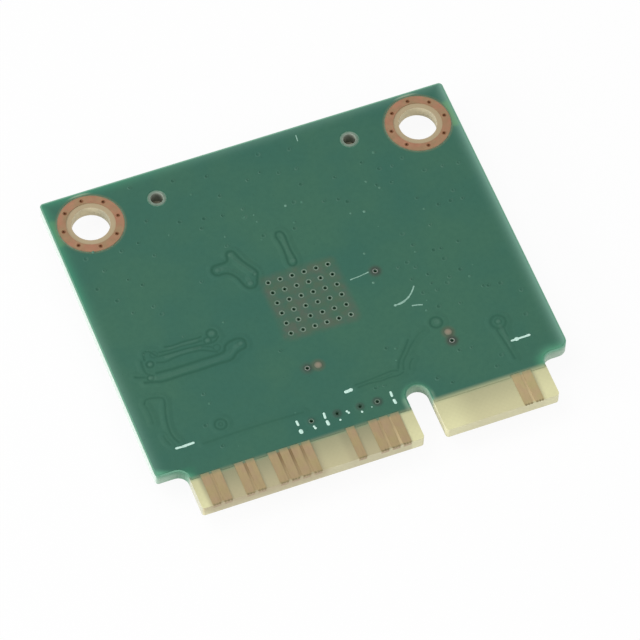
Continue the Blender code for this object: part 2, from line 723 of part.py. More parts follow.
def make_open_parts(tan, black, dark):
    """What stands outside the shield: parts beside the contacts and at the receptacles."""
    row = (SHOULDER_HEIGHT + LID_FROM_TONGUE) - PART_SPACING - CAPACITOR[0] / 2
    step = CAPACITOR[1] + PART_SPACING
    start = (contact_x(40), row)
    row_of_parts("coupling_capacitor", CAPACITOR, tan, start, 6, (step, 0), True)
    start = (contact_x(12), row)
    row_of_parts("edge_resistor", RESISTOR, black, start, 4, (step, 0), True)
    beyond = BOARD_LENGTH - LID_FROM_HOLE_END + PART_SPACING + MATCHING_COIL[0] / 2
    for hand, (x, _) in zip(("left", "right"), receptacle_places()):
        make_chip_part(f"matching_coil_{hand}", MATCHING_COIL, dark, x, beyond, True)
        beside = x - MATCHING_COIL[1] - PART_SPACING
        make_chip_part(f"matching_capacitor_{hand}", CAPACITOR, tan, beside, beyond, True)


def main():
    for old in list(bpy.data.objects):
        bpy.data.objects.remove(old)
    card = bpy.data.objects.new("card", None)
    bpy.context.scene.collection.objects.link(card)
    laminate = make_material("laminate", (205, 203, 158), 0.55)
    mask = make_material("solder_mask", (66, 110, 92), 0.38)
    gold = make_material("thin_gold", (178, 148, 108), 0.42, 0.6)
    copper = make_material("bare_copper", (184, 132, 105), 0.45, 0.6)
    tin = make_material("tinned_copper", (150, 165, 150), 0.45, 0.7)
    sheet = make_material("tinned_steel", (196, 197, 194), 0.32, 0.9)
    brass = make_material("plated_brass", (206, 176, 110), 0.30, 0.9)
    black_plastic = make_material("black_moulding", (44, 42, 40), 0.55)
    brown_plastic = make_material("receptacle_moulding", (74, 58, 52), 0.60)
    ceramic = make_material("white_ceramic", (214, 206, 190), 0.50)
    tan_ceramic = make_material("tan_ceramic", (168, 140, 104), 0.55)
    ferrite = make_material("ferrite", (72, 72, 76), 0.65)
    make_board(laminate)
    make_masks(mask)
    make_contacts(gold)
    make_screw_pads(copper)
    make_plated_lands(tin)
    make_shield_lid(sheet)
    make_shield_fence(sheet)
    make_receptacles(brown_plastic, brass)
    make_shielded_parts(black_plastic, ceramic, ferrite, tan_ceramic)
    make_open_parts(tan_ceramic, black_plastic, ferrite)


main()
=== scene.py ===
"""Looks of a half-size laptop wireless card, lying solder side up on its shield lid.

Card coordinates are millimetres: x from the middle, y from the contacts' ends, and z up from
the surface that the lid rests on. Shapes are worked out as arrays in millimetres and turned
into metres when their mesh is made.
"""

import math

import bmesh
import bpy
import numpy as np
from mathutils import Matrix, Vector


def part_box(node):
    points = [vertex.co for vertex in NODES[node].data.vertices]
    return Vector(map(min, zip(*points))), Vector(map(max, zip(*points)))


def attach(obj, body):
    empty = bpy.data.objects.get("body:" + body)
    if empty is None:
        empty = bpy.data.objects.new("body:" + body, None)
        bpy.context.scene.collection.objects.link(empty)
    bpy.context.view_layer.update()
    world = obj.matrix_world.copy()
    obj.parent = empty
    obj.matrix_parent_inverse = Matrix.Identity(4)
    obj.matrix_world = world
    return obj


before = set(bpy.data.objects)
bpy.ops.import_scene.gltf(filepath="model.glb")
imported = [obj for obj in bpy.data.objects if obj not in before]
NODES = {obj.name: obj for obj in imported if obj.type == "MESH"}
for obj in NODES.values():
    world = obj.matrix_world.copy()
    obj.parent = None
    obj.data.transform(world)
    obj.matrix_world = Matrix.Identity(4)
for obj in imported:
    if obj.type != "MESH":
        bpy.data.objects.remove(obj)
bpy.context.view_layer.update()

MM = 0.001

ENDS_Y = -13.275  # where y is 0 on the card, in the frame's millimetres
MASK_TOP = 2.355
COPPER_TOP = 2.36
UPPER_FACE = 2.32  # the laminate's own faces, under the mask
LOWER_FACE = 1.4
SEAT = 1.36  # where the small parts of the component side meet their pads
GRID_CENTRE = (-0.22, 12.96)
GRID_PITCH = 0.873
GRID_SIDE = 6
SCREW_PLACES = ((-12.1, 23.93), (12.1, 23.93))
PAD_VIA_CIRCLE = 1.98  # the radius on which the small vias stand in a screw pad
RECEPTACLE_PLACES = ((-7.13, 24.33), (7.13, 24.33))
LONE_VIAS = ((4.79, 13.48), (-2.38, 7.76), (7.62, 6.42))
FAN_OUT_VIAS = ((-3.64, 3.75), (-1.8, 3.71), (-0.15, 3.69), (1.08, 3.64))
TEST_DOTS = ((-1.6, 7.75), (7.63, 7.15))
SLOT_SIDES = (2.5, 4.5)  # x by the long and by the short part of the tongue

# Small vias that the mask has filled: only a dimple shows
TENTED_VIAS = (
    (-8.6, 25.8), (-8.46, 22.8), (-6.34, 21.93), (-9.6, 21.3), (-10.9, 21.06), (-13.4, 21.3),
    (-12.55, 19.96), (-8.9, 19.96), (-13.5, 18.7), (-11.26, 18.7), (-10.5, 17.96),
    (-12.55, 17.35), (-11.87, 16.06), (-10.4, 16.06), (-10.1, 15.3), (-6.64, 16.8), (-5.1, 20.9),
    (-4.67, 21.6), (-3.4, 21.4), (-3.0, 23.0), (-2.0, 20.76), (-1.87, 21.44), (-4.0, 18.94),
    (-1.34, 18.87), (-0.73, 23.56), (-3.3, 24.85), (-5.6, 25.3), (0.32, 23.9), (2.9, 25.0),
    (0.7, 25.35), (2.8, 23.3), (1.5, 23.4), (2.6, 21.96), (5.0, 21.7), (7.2, 22.2), (8.15, 21.3),
    (9.1, 21.2), (10.0, 21.6), (1.6, 20.75), (3.6, 20.1), (4.6, 19.9), (5.1, 19.5), (7.5, 20.1),
    (8.55, 19.94), (11.05, 20.1), (12.4, 20.0), (13.5, 19.86), (0.9, 18.7), (9.7, 18.1),
    (10.9, 17.1), (11.8, 17.1), (12.66, 17.0), (12.3, 17.85), (7.66, 15.7), (9.76, 15.7),
    (8.0, 14.6), (9.2, 13.7), (9.7, 13.65), (11.05, 13.8), (7.1, 13.4), (6.4, 13.2), (7.5, 12.85),
    (9.6, 12.8), (6.9, 12.0), (8.1, 12.0), (10.3, 11.6), (8.06, 11.2), (9.4, 11.3), (9.05, 10.9),
    (8.2, 10.6), (7.2, 10.7), (7.8, 9.3), (11.3, 9.8), (11.6, 9.7), (12.45, 9.6), (9.3, 9.05),
    (13.6, 8.6), (13.1, 6.67), (8.67, 5.45), (7.8, 5.55), (5.6, 4.0), (6.4, 3.3), (9.7, 3.45),
    (10.3, 4.2), (-9.3, 13.05), (-9.67, 8.3), (-10.4, 5.9), (-3.6, 9.7), (3.2, 7.4), (1.4, 4.7),
    (2.0, 4.7), (5.55, 3.95), (-12.0, 13.0), (-12.3, 12.7), (-9.9, 4.0))
# Dust as (x, y, radius, how pale)
FLECKS = (
    (5.88, 18.32, 0.1, 0.32), (4.95, 18.5, 0.085, 0.17), (0.97, 20.66, 0.1, 0.37),
    (6.9, 20.6, 0.09, 0.16), (7.6, 19.8, 0.1, 0.14), (9.84, 17.1, 0.09, 0.12),
    (4.62, 15.08, 0.09, 0.17), (4.33, 12.64, 0.1, 0.27), (-1.34, 20.7, 0.085, 0.09),
    (-1.34, 20.1, 0.085, 0.1), (-3.84, 19.7, 0.085, 0.08), (-4.8, 23.8, 0.1, 0.05),
    (6.9, 9.3, 0.085, 0.12), (3.8, 7.15, 0.1, 0.05), (3.5, 6.25, 0.1, 0.08),
    (11.25, 11.65, 0.07, 0.05), (7.95, 14.0, 0.08, 0.11), (8.3, 22.7, 0.13, 0.08),
    (10.7, 10.85, 0.11, 0.09), (-7.4, 21.17, 0.08, 0.06), (-6.4, 13.2, 0.09, 0.06),
    (1.05, 19.15, 0.1, 0.03), (-9.55, 7.45, 0.1, 0.04), (-1.55, 18.6, 0.08, 0.05),
    (-12.75, 21.65, 0.11, 0.16), (2.15, 20.55, 0.12, 0.06), (-2.0, 20.75, 0.11, 0.05))

# Copper gaps that the mask sinks into, as (half width, depth from 0 to 1, corners)
COPPER_GAPS = (
    (0.12, 1.0, (-5.3, 16.87), (-5.6, 17.0), (-5.68, 17.4), (-5.48, 17.7), (-5.0, 17.7),
     (-4.45, 17.7), (-4.28, 17.95), (-4.27, 18.3), (-4.05, 18.5), (-3.7, 18.4), (-3.6, 18.0),
     (-3.35, 17.3), (-2.95, 16.7), (-2.72, 16.2), (-2.95, 15.75), (-3.1, 15.3), (-3.45, 15.08),
     (-3.85, 15.22), (-4.04, 15.7), (-4.2, 16.3), (-4.6, 16.8), (-5.0, 16.9), (-5.3, 16.87)),
    (0.07, 0.5, (-3.9, 17.8), (-3.65, 17.4), (-3.4, 16.95), (-3.15, 16.5)),
    (0.1, 1.0, (-0.52, 18.3), (-0.55, 18.6), (-0.4, 18.82), (-0.1, 18.82), (0.08, 18.5),
     (0.03, 17.8), (0.01, 17.0), (0.09, 16.4), (0.05, 16.0), (-0.22, 15.8), (-0.48, 15.95),
     (-0.52, 16.3), (-0.43, 16.9), (-0.43, 17.8), (-0.52, 18.3)),
    (0.08, 0.9, (-10.8, 12.72), (-10.3, 12.62), (-9.4, 12.7), (-8.5, 12.6), (-8.2, 12.66)),
    (0.08, 0.8, (-11.3, 12.45), (-10.4, 12.35), (-9.6, 12.43), (-9.0, 12.32), (-8.3, 12.32)),
    (0.08, 0.9, (-11.4, 12.15), (-10.6, 12.12), (-9.8, 12.1), (-8.9, 12.05), (-8.0, 11.93),
     (-7.4, 11.95), (-7.1, 12.25)),
    (0.09, 0.8, (-11.7, 11.72), (-11.1, 11.55), (-10.4, 11.72), (-9.4, 11.72), (-8.6, 11.65),
     (-8.1, 11.4), (-7.6, 11.12)),
    (0.07, 0.7, (-9.0, 11.92), (-8.2, 11.82), (-7.8, 11.6)),
    (0.12, 0.9, (-12.0, 10.95), (-10.9, 10.88), (-9.8, 10.88), (-8.6, 10.9), (-7.7, 10.88),
     (-7.1, 10.95), (-6.95, 11.4), (-6.5, 11.62), (-5.9, 11.66), (-5.58, 11.5), (-5.52, 11.1),
     (-5.65, 10.78), (-6.05, 10.72), (-6.4, 10.6), (-6.75, 10.25), (-7.1, 10.15), (-7.9, 10.22),
     (-9.0, 10.15), (-10.5, 10.2), (-11.9, 10.15), (-12.4, 10.35), (-13.0, 10.5)),
    (0.1, 0.7, (-12.7, 12.15), (-12.75, 11.6), (-12.7, 11.1), (-12.3, 10.85)),
    (0.09, 0.8, (-12.45, 12.2), (-12.35, 12.75), (-12.0, 12.85), (-11.75, 12.5), (-11.5, 12.15)),
    (0.1, 0.8, (-13.5, 11.15), (-13.2, 11.0), (-12.9, 10.9)),
    (0.09, 0.7, (-13.65, 8.9), (-13.5, 9.22), (-13.1, 9.22), (-12.7, 9.1), (-12.35, 9.0),
     (-12.25, 8.7), (-12.5, 8.0), (-12.7, 7.2), (-12.8, 6.3), (-12.7, 5.7), (-12.5, 5.3)),
    (0.08, 0.4, (-13.62, 8.7), (-13.55, 8.0), (-13.62, 7.3)),
    (0.08, 0.5, (-13.3, 6.1), (-13.25, 5.7), (-13.1, 5.3)),
    (0.11, 0.52, (-11.0, 4.62), (-9.5, 4.66), (-8.0, 4.69), (-6.5, 4.67), (-3.9, 4.6)),
    (0.08, 0.7, (0.2, 5.38), (1.2, 5.42), (2.2, 5.52), (2.9, 5.6), (3.3, 5.45)),
    (0.08, 0.7, (0.3, 5.12), (1.3, 5.2), (1.9, 5.05), (2.6, 5.15), (3.2, 5.05), (3.6, 5.2)),
    (0.06, 0.5, (1.6, 5.32), (2.2, 5.24), (2.8, 5.34)),
    (0.1, 0.7, (3.4, 5.6), (3.6, 6.05), (4.0, 6.5), (4.5, 7.05), (4.85, 7.5)),
    (0.1, 0.6, (3.7, 5.4), (3.9, 6.0), (4.3, 6.4), (4.8, 6.95), (5.2, 7.3)),
    (0.08, 0.6, (4.1, 5.3), (4.3, 5.75), (4.6, 6.0)),
    (0.1, 0.35, (5.3, 7.4), (5.7, 7.7), (6.2, 7.85)),
    (0.09, 0.7, (10.85, 6.3), (10.82, 5.9), (10.95, 5.2), (11.03, 4.3), (11.1, 3.6)),
    (0.08, 0.5, (11.4, 6.3), (11.3, 5.9), (11.35, 5.5)))
# Round gaps as (x, y, radius, half width, depth)
ROUND_GAPS = (
    (-5.3, 17.3, 0.21, 0.06, 0.5), (-3.55, 15.5, 0.24, 0.06, 0.5), (-2.98, 16.1, 0.16, 0.05, 0.6),
    (-7.45, 12.62, 0.34, 0.09, 0.9), (-7.9, 12.2, 0.25, 0.08, 0.7), (-7.5, 11.45, 0.24, 0.07, 0.6),
    (-5.88, 11.2, 0.22, 0.06, 0.4), (-12.2, 11.75, 0.24, 0.08, 0.9), (-11.7, 12.4, 0.25, 0.07, 0.6),
    (-12.55, 10.72, 0.22, 0.07, 0.8), (-9.4, 5.65, 0.4, 0.09, 0.8), (-9.4, 5.65, 0.13, 0.06, 0.6),
    (7.17, 8.15, 0.42, 0.1, 0.9), (11.15, 6.72, 0.52, 0.12, 0.7), (11.15, 6.75, 0.22, 0.07, 0.5))
# Tracks and pads that stand up under the mask, as (half width, corners)
COVERED_TRACKS = (
    (0.16, (-5.3, 17.3), (-4.6, 17.3), (-4.0, 16.95), (-3.65, 16.3), (-3.55, 15.5)),
    (0.1, (-4.05, 18.1), (-3.78, 17.5), (-3.4, 16.85), (-3.02, 16.2)),
    (0.09, (-0.2, 18.5), (-0.2, 17.2), (-0.18, 16.3)),
    (0.13, (-12.5, 10.7), (-12.0, 10.5), (-9.0, 10.52), (-7.2, 10.5), (-6.5, 11.0), (-5.88, 11.2)),
    (0.1, (-11.0, 11.9), (-9.8, 11.9), (-8.6, 11.85)), (0.08, (-10.6, 12.5), (-8.6, 12.46)),
    (0.1, (11.13, 6.4), (11.15, 5.4), (11.2, 4.6)))
COVERED_PADS = (
    (-4.02, 18.15, 0.15), (-3.55, 15.5, 0.16), (-5.3, 17.3, 0.13), (-0.17, 16.25, 0.17),
    (-7.45, 12.62, 0.17), (-7.9, 12.2, 0.13), (-12.2, 11.75, 0.12), (-12.55, 10.72, 0.12),
    (-5.88, 11.2, 0.12), (7.2, 8.17, 0.2), (11.15, 6.75, 0.13), (-2.98, 16.1, 0.09))
# Burnt mask round vias and test dots, as (x, y, radius, how brown)
VIA_HALOS = ((4.79, 13.48, 0.58, 0.85), (-2.38, 7.76, 0.42, 0.6), (7.62, 6.42, 0.58, 0.95),
             (-3.64, 3.75, 0.4, 0.35), (-1.8, 3.71, 0.46, 0.6), (-0.15, 3.69, 0.42, 0.55),
             (1.08, 3.64, 0.56, 0.75))
DOT_HALOS = ((7.63, 7.12, 0.52, 0.3), (-1.6, 7.75, 0.44, 0.25))
RELIEF_AREA = ((-14.15, 12.1), (2.9, 19.3))
RELIEF_CELL = 0.05
RELIEF_REACH = 0.6
VIA_OPENING = 0.17  # the radius of the relief's own hole over a via or a test dot

# White print, as (half width, corners)
PRINTED_BARS = (
    (0.08, (-4.58, 4.15), (-4.56, 3.7)), (0.135, (-4.58, 3.42), (-4.56, 3.04)),
    (0.08, (-2.62, 4.1), (-2.67, 3.6)), (0.105, (-2.65, 3.46), (-2.63, 3.02)),
    (0.085, (2.2, 4.1), (2.17, 3.64)), (0.1, (2.17, 3.46), (2.22, 3.04)),
    (0.12, (2.21, 3.22), (2.24, 3.1)),
    (0.125, (-1.14, 3.72), (-1.08, 3.56)), (0.11, (-1.06, 3.58), (-1.0, 3.42)),
    (0.08, (-3.62, 3.38), (-3.6, 3.22)), (0.09, (-3.59, 3.24), (-3.55, 3.06)),
    (0.08, (-1.78, 3.24), (-1.74, 3.1)), (0.07, (-0.2, 3.34), (-0.13, 3.18)),
    (0.055, (0.58, 3.42), (0.6, 3.34)),
    (0.115, (-0.74, 5.09), (-0.5, 5.11), (-0.28, 5.12)), (0.13, (-0.4, 5.13), (-0.1, 5.15)),
    (0.085, (-12.94, 4.92), (-12.2, 4.9), (-11.56, 4.93)), (0.1, (-12.5, 4.91), (-12.1, 4.9)),
    (0.07, (11.34, 4.99), (12.0, 5.0), (12.8, 5.01)), (0.14, (11.62, 5.0), (11.95, 5.01)),
    (0.09, (12.5, 5.01), (12.79, 5.02)))
SCUFFS = (
    (0.05, (4.96, 10.4), (5.4, 10.42), (5.9, 10.56), (6.3, 10.82), (6.6, 11.12), (6.84, 11.45)),
    (0.085, (4.96, 10.4), (5.16, 10.42)), (0.075, (5.3, 10.4), (5.6, 10.46), (5.86, 10.55)),
    (0.062, (5.95, 10.6), (6.25, 10.77)), (0.048, (6.1, 9.99), (6.5, 9.92), (6.84, 9.8)),
    (0.03, (2.96, 13.42), (3.6, 13.46), (4.36, 13.56)), (0.045, (2.92, 13.4), (3.14, 13.44)),
    (0.03, (3.4, 13.43), (3.7, 13.47)), (0.036, (3.9, 13.5), (4.36, 13.58)),
    (0.035, (3.76, 25.95), (3.7, 25.42)))

# Browner, darker laminate between neighbouring contacts, as (x, how brown at the ends and at the
# mask)
BROWN_GAPS = ((-11.4, 0.5, 0.55), (-9.0, 0.48, 0.85), (-6.6, 0.55, 1.0), (-5.8, 0.65, 1.0),
              (-5.0, 0.48, 0.85), (0.6, 0.3, 0.55), (1.4, 0.0, 0.4), (11.0, 0.0, 0.3))
# Contacts on the solder side, by the middle of each
CONTACTS = (-11.8, -11.0, -9.4, -8.6, -7.0, -6.2, -5.4, -4.6, -1.4, 0.2, 1.0, 1.8, 10.6, 11.4)


def linear(red, green, blue):
    """A colour as it is seen, from 0 to 255, as the four values that a shader takes."""
    seen = np.array([red, green, blue]) / 255
    line = np.where(seen <= 0.04045, seen / 12.92, ((seen + 0.055) / 1.055) ** 2.4)
    return (*line.tolist(), 1.0)


# Surfaces

def skin(points, round_u=False, round_v=False):
    """Four-sided faces over grids of points with the shape (copies, u, v, 3).

    Face (i, j) joins the points (i, j), (i+1, j), (i+1, j+1) and (i, j+1), and along a round
    way the last row is joined to the first.
    """
    index = np.arange(points.size // 3).reshape(points.shape[:3])
    if round_u:
        index = np.concatenate([index, index[:, :1]], axis=1)
    if round_v:
        index = np.concatenate([index, index[:, :, :1]], axis=2)
    corners = (index[:, :-1, :-1], index[:, 1:, :-1], index[:, 1:, 1:], index[:, :-1, 1:])
    return points.reshape(-1, 3), np.stack(corners, axis=-1).reshape(-1, 4)


def make_piece(name, surfaces, material, slot, smooth=40, **values):
    """One piece from several (points, faces) in card millimetres, welded and facing outwards.

    Any further values are numbers for every point, which the material reads by their name.
    """
    points, faces, count = [], [], 0
    for some_points, some_faces in surfaces:
        points.append(some_points)
        faces.append(some_faces + count)
        count += len(some_points)
    placed = np.vstack(points) + (0, ENDS_Y, 0)
    mesh = bpy.data.meshes.new(name)
    mesh.from_pydata((placed * MM).tolist(), [], np.vstack(faces).tolist())
    for label, numbers in values.items():
        mesh.attributes.new(label, "FLOAT", "POINT").data.foreach_set("value", numbers)
    bm = bmesh.new()
    bm.from_mesh(mesh)
    bmesh.ops.remove_doubles(bm, verts=bm.verts, dist=1e-8)
    bmesh.ops.recalc_face_normals(bm, faces=bm.faces)
    bm.to_mesh(mesh)
    bm.free()
    mesh.shade_smooth()
    mesh.set_sharp_from_angle(angle=math.radians(smooth))
    mesh.materials.append(material)
    piece = bpy.data.objects.new(name, mesh)
    bpy.context.scene.collection.objects.link(piece)
    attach(piece, "root")
    return piece


def turned(profile, centres, sides):
    """A closed profile of (radius, height) turned about an upright axis at each centre.

    A point is centre + radius * (cos turn, sin turn), at its own height.
    """
    radius, height = np.array(profile, float).T
    turn = np.linspace(0, 2 * np.pi, sides, endpoint=False)[:, None]
    around = np.stack([np.cos(turn) * radius, np.sin(turn) * radius,
                       np.ones_like(turn) * height], axis=-1)
    middle = np.c_[np.array(centres, float), np.zeros(len(centres))]
    return skin(middle[:, None, None, :] + around[None], round_u=True, round_v=True)


def even_path(corners, rounds=3):
    """A smooth line through corners, with the distance from its start at each point.

    Each round cuts every corner at a quarter and at three quarters of its sides.
    """
    path = np.array(corners, float)
    for _ in range(rounds if len(corners) > 2 else 0):
        a, b = path[:-1], path[1:]
        cut = np.stack([0.75 * a + 0.25 * b, 0.25 * a + 0.75 * b], axis=1).reshape(-1, 2)
        path = np.vstack([path[:1], cut, path[-1:]])
    return path, np.r_[0, np.cumsum(np.hypot(*np.diff(path, axis=0).T))]


def ribbon(corners, half, section, z, step=0.06, rounds=3):
    """A section of (share of the half width, height) carried along a smooth line, ends round.

    The half width at a distance d from an end is half * sqrt(1 - (1 - d / half) ** 2) up to
    d = half, so that each end is a half circle.
    """
    path, length = even_path(corners, rounds)
    total = length[-1]
    half = min(half, 0.499 * total)
    bend = half * (1 - np.cos(np.linspace(0, np.pi / 2, 6)))
    inner = np.linspace(half, total - half, max(int(total / step), 2) + 1)
    at = np.r_[bend[:-1], inner, (total - bend)[-2::-1]]
    line = np.c_[np.interp(at, length, path[:, 0]), np.interp(at, length, path[:, 1])]
    along = np.gradient(line, axis=0)
    along /= np.hypot(*along.T)[:, None]
    from_end = np.minimum(np.minimum(at, total - at) / half, 1)
    wide = half * np.sqrt(np.maximum(1 - (1 - from_end) ** 2, 0))
    share, height = np.array(section, float).T
    across = wide[:, None] * share
    x = line[:, :1] - along[:, 1:] * across
    y = line[:, 1:] + along[:, :1] * across
    rise = z + height * np.minimum(1, 2 * wide / half)[:, None] ** 0.5
    return skin(np.stack([x, y, rise], axis=-1)[None], round_v=True)


def fade(value, low, high):
    """0 up to low, 1 from high on, and t * t * (3 - 2 t) between them; high may be the smaller."""
    t = np.clip((value - low) / (high - low), 0, 1)
    return t * t * (3 - 2 * t)


def away_from(corners, x, y, reach):
    """The distance from each point of a grid to a smoothed line, no more than the reach.

    The nearest place to a point p on a straight piece from a to b is a + t (b - a), with
    t = (p - a).(b - a) / |b - a| ** 2 kept between 0 and 1.
    """
    path, _ = even_path(corners, 2)
    (x0, y0), (x1, y1) = path.min(axis=0) - reach, path.max(axis=0) + reach
    near = (x > x0) & (x < x1) & (y > y0) & (y < y1)
    point = np.c_[x[near], y[near]][:, None]
    start, step = path[:-1], np.diff(path, axis=0)
    share = ((point - start) * step).sum(axis=-1) / (step ** 2).sum(axis=-1)
    to_line = point - start - np.clip(share, 0, 1)[..., None] * step
    found = np.full(x.shape, float(reach))
    found[near] = np.minimum(np.hypot(*to_line.transpose(2, 0, 1)).min(axis=1), reach)
    return found


def closed_sheet(points, keep, underside):
    """The cells of a grid of points with a corner to keep, and a flat underside joined on.

    The rim is the sides that only one cell has, and a wall goes down from each. Also gives the
    grid's own places of the points on top.
    """
    index = np.arange(keep.size).reshape(keep.shape)
    cells = np.stack([index[:-1, :-1], index[1:, :-1], index[1:, 1:], index[:-1, 1:]], axis=-1)
    cells = cells.reshape(-1, 4)
    cells = cells[keep.ravel()[cells].any(axis=1)]
    used, cells = np.unique(cells, return_inverse=True)
    cells = cells.reshape(-1, 4)
    sides = np.stack([cells, np.roll(cells, -1, axis=1)], axis=-1).reshape(-1, 2)
    _, first, count = np.unique(np.sort(sides, axis=1), axis=0, return_index=True,
                                return_counts=True)
    rim = sides[first[count == 1]]
    top = points.reshape(-1, 3)[used]
    under = np.c_[top[:, :2], np.full(len(top), underside)]
    faces = np.vstack([cells, cells[:, ::-1] + len(top),
                       np.c_[rim[:, ::-1], rim + len(top)]])
    return np.vstack([top, under]), faces, used


def slab_section(height, sink=0.004, rows=7):
    """A low rounded bar: height * (1 - share ** 4) above its seat and flat under it."""
    share = np.cos(np.linspace(0, np.pi, rows))
    top = np.c_[share, height * (1 - share ** 4)]
    return np.vstack([top, [(-0.9, -sink), (0.9, -sink)]])


def pillow(low, high, edge=0.3):
    """A block with rounded edges between two corners, as a superellipsoid.

    With c(t) = sign(cos t) * |cos t| ** edge and s(t) the same for the sine, a point is the
    middle + half size * (c(u) c(v), c(u) s(v), s(u)).
    """
    low, high = np.array(low, float), np.array(high, float)
    u = np.linspace(-np.pi / 2, np.pi / 2, 13)[:, None]
    v = np.linspace(-np.pi, np.pi, 24, endpoint=False)
    power = [np.sign(t) * np.abs(t) ** edge for t in (np.cos(u), np.sin(u), np.cos(v), np.sin(v))]
    ball = np.stack(np.broadcast_arrays(power[0] * power[2], power[0] * power[3], power[1]), -1)
    return skin(((low + high) / 2 + ball * (high - low) / 2)[None], round_v=True)


# Shading

def board_place(x, y, z=0.0):
    """Card coordinates as a place in the frame, in millimetres."""
    return (x, y + ENDS_Y, z)


class Shading:
    """Adds nodes to one material or node group; a value may be a number or another's socket."""

    def __init__(self, tree):
        self.tree = tree

    def feed(self, socket, value):
        if isinstance(value, bpy.types.NodeSocket):
            self.tree.links.new(value, socket)
        else:
            socket.default_value = value

    def node(self, kind, values=(), **settings):
        node = self.tree.nodes.new("ShaderNode" + kind)
        for name, value in settings.items():
            setattr(node, name, value)
        for key, value in dict(values).items():
            self.feed(node.inputs[key], value)
        return node

    def math(self, operation, a, b=0.0, c=0.0):
        values = {0: a, 1: b, 2: c}
        return self.node("Math", values, operation=operation).outputs[0]

    def gather(self, operation, values):
        """One operation over any number of values, two at a time."""
        total = values[0]
        for value in values[1:]:
            total = self.math(operation, total, value)
        return total

    def times(self, *values):
        return self.gather("MULTIPLY", values)

    def most(self, *values):
        return self.gather("MAXIMUM", values)

    def blend(self, share, first, second):
        values = {0: share, 6: first, 7: second}
        return self.node("Mix", values, data_type="RGBA").outputs[2]

    def tint(self, colour, tone, *shares):
        """The colour with some of another, given as it is seen; the shares are multiplied."""
        return self.blend(self.times(*shares), colour, linear(*tone))

    def shift(self, share, first, second):
        """A number that goes from the first to the second."""
        values = {0: share, 2: first, 3: second}
        return self.node("Mix", values, data_type="FLOAT").outputs[0]

    def ramp(self, value, low, high):
        """0 below low and 1 above high, smooth between them; high may be the smaller."""
        values = {"Value": value, "From Min": low, "From Max": high}
        return self.node("MapRange", values, interpolation_type="SMOOTHSTEP").outputs[0]

    def glow(self, value, power, share):
        """share * value ** power where the value is above 0, and 0 elsewhere."""
        return self.times(self.math("POWER", self.most(value, 0.0), power), share)

    def vector(self, operation, a, b=(0.0, 0.0, 0.0)):
        return self.node("VectorMath", {0: a, 1: b}, operation=operation).outputs[0]

    def length(self, vector):
        return self.node("VectorMath", {0: vector}, operation="LENGTH").outputs["Value"]

    def noise(self, vector, scale, detail=2.0, roughness=0.5):
        values = {"Vector": vector, "Scale": scale, "Detail": detail, "Roughness": roughness}
        return self.node("TexNoise", values).outputs[0]

    def place(self):
        """Where a point is in the frame, in millimetres, as one vector."""
        found = self.node("TexCoord").outputs["Object"]
        return self.vector("DIVIDE", found, (MM, MM, MM))

    def frame_axes(self):
        return self.node("SeparateXYZ", {0: self.place()}).outputs

    def axes(self):
        """Where a point is on the card, as its x, y and z."""
        x, y, z = self.frame_axes()
        return x, self.math("SUBTRACT", y, ENDS_Y), z

    def group(self, name, **values):
        node = self.node("Group")
        node.node_tree = bpy.data.node_groups[name]
        for key, value in values.items():
            self.feed(node.inputs[key.capitalize()], value)
        return node.outputs

    def box(self, x, y, z, half, soft):
        """1 in a box round a place on the card, and 0 from a distance of soft outside it."""
        return self.group("soft box", middle=board_place(x, y, z), half=half, soft=soft)["Mask"]

    def disc(self, x, y, radius, soft):
        """1 at any height over a disc round a place on the card, and 0 from soft outside it."""
        return self.group("disc", middle=board_place(x, y), radius=radius, soft=soft)["Mask"]

    def attribute(self, name):
        return self.node("Attribute", attribute_name=name).outputs["Fac"]


def new_group(name, takes, gives):
    """A node group of what it takes, with the usual values, and of the numbers that it gives."""
    tree = bpy.data.node_groups.new(name, "ShaderNodeTree")
    for label, value in takes.items():
        kind = "NodeSocketVector" if isinstance(value, tuple) else "NodeSocketFloat"
        tree.interface.new_socket(label, in_out="INPUT", socket_type=kind).default_value = value
    for label in gives:
        tree.interface.new_socket(label, in_out="OUTPUT", socket_type="NodeSocketFloat")
    shading = Shading(tree)
    taken = tree.nodes.new("NodeGroupInput").outputs
    given = tree.nodes.new("NodeGroupOutput").inputs
    return shading, taken, given


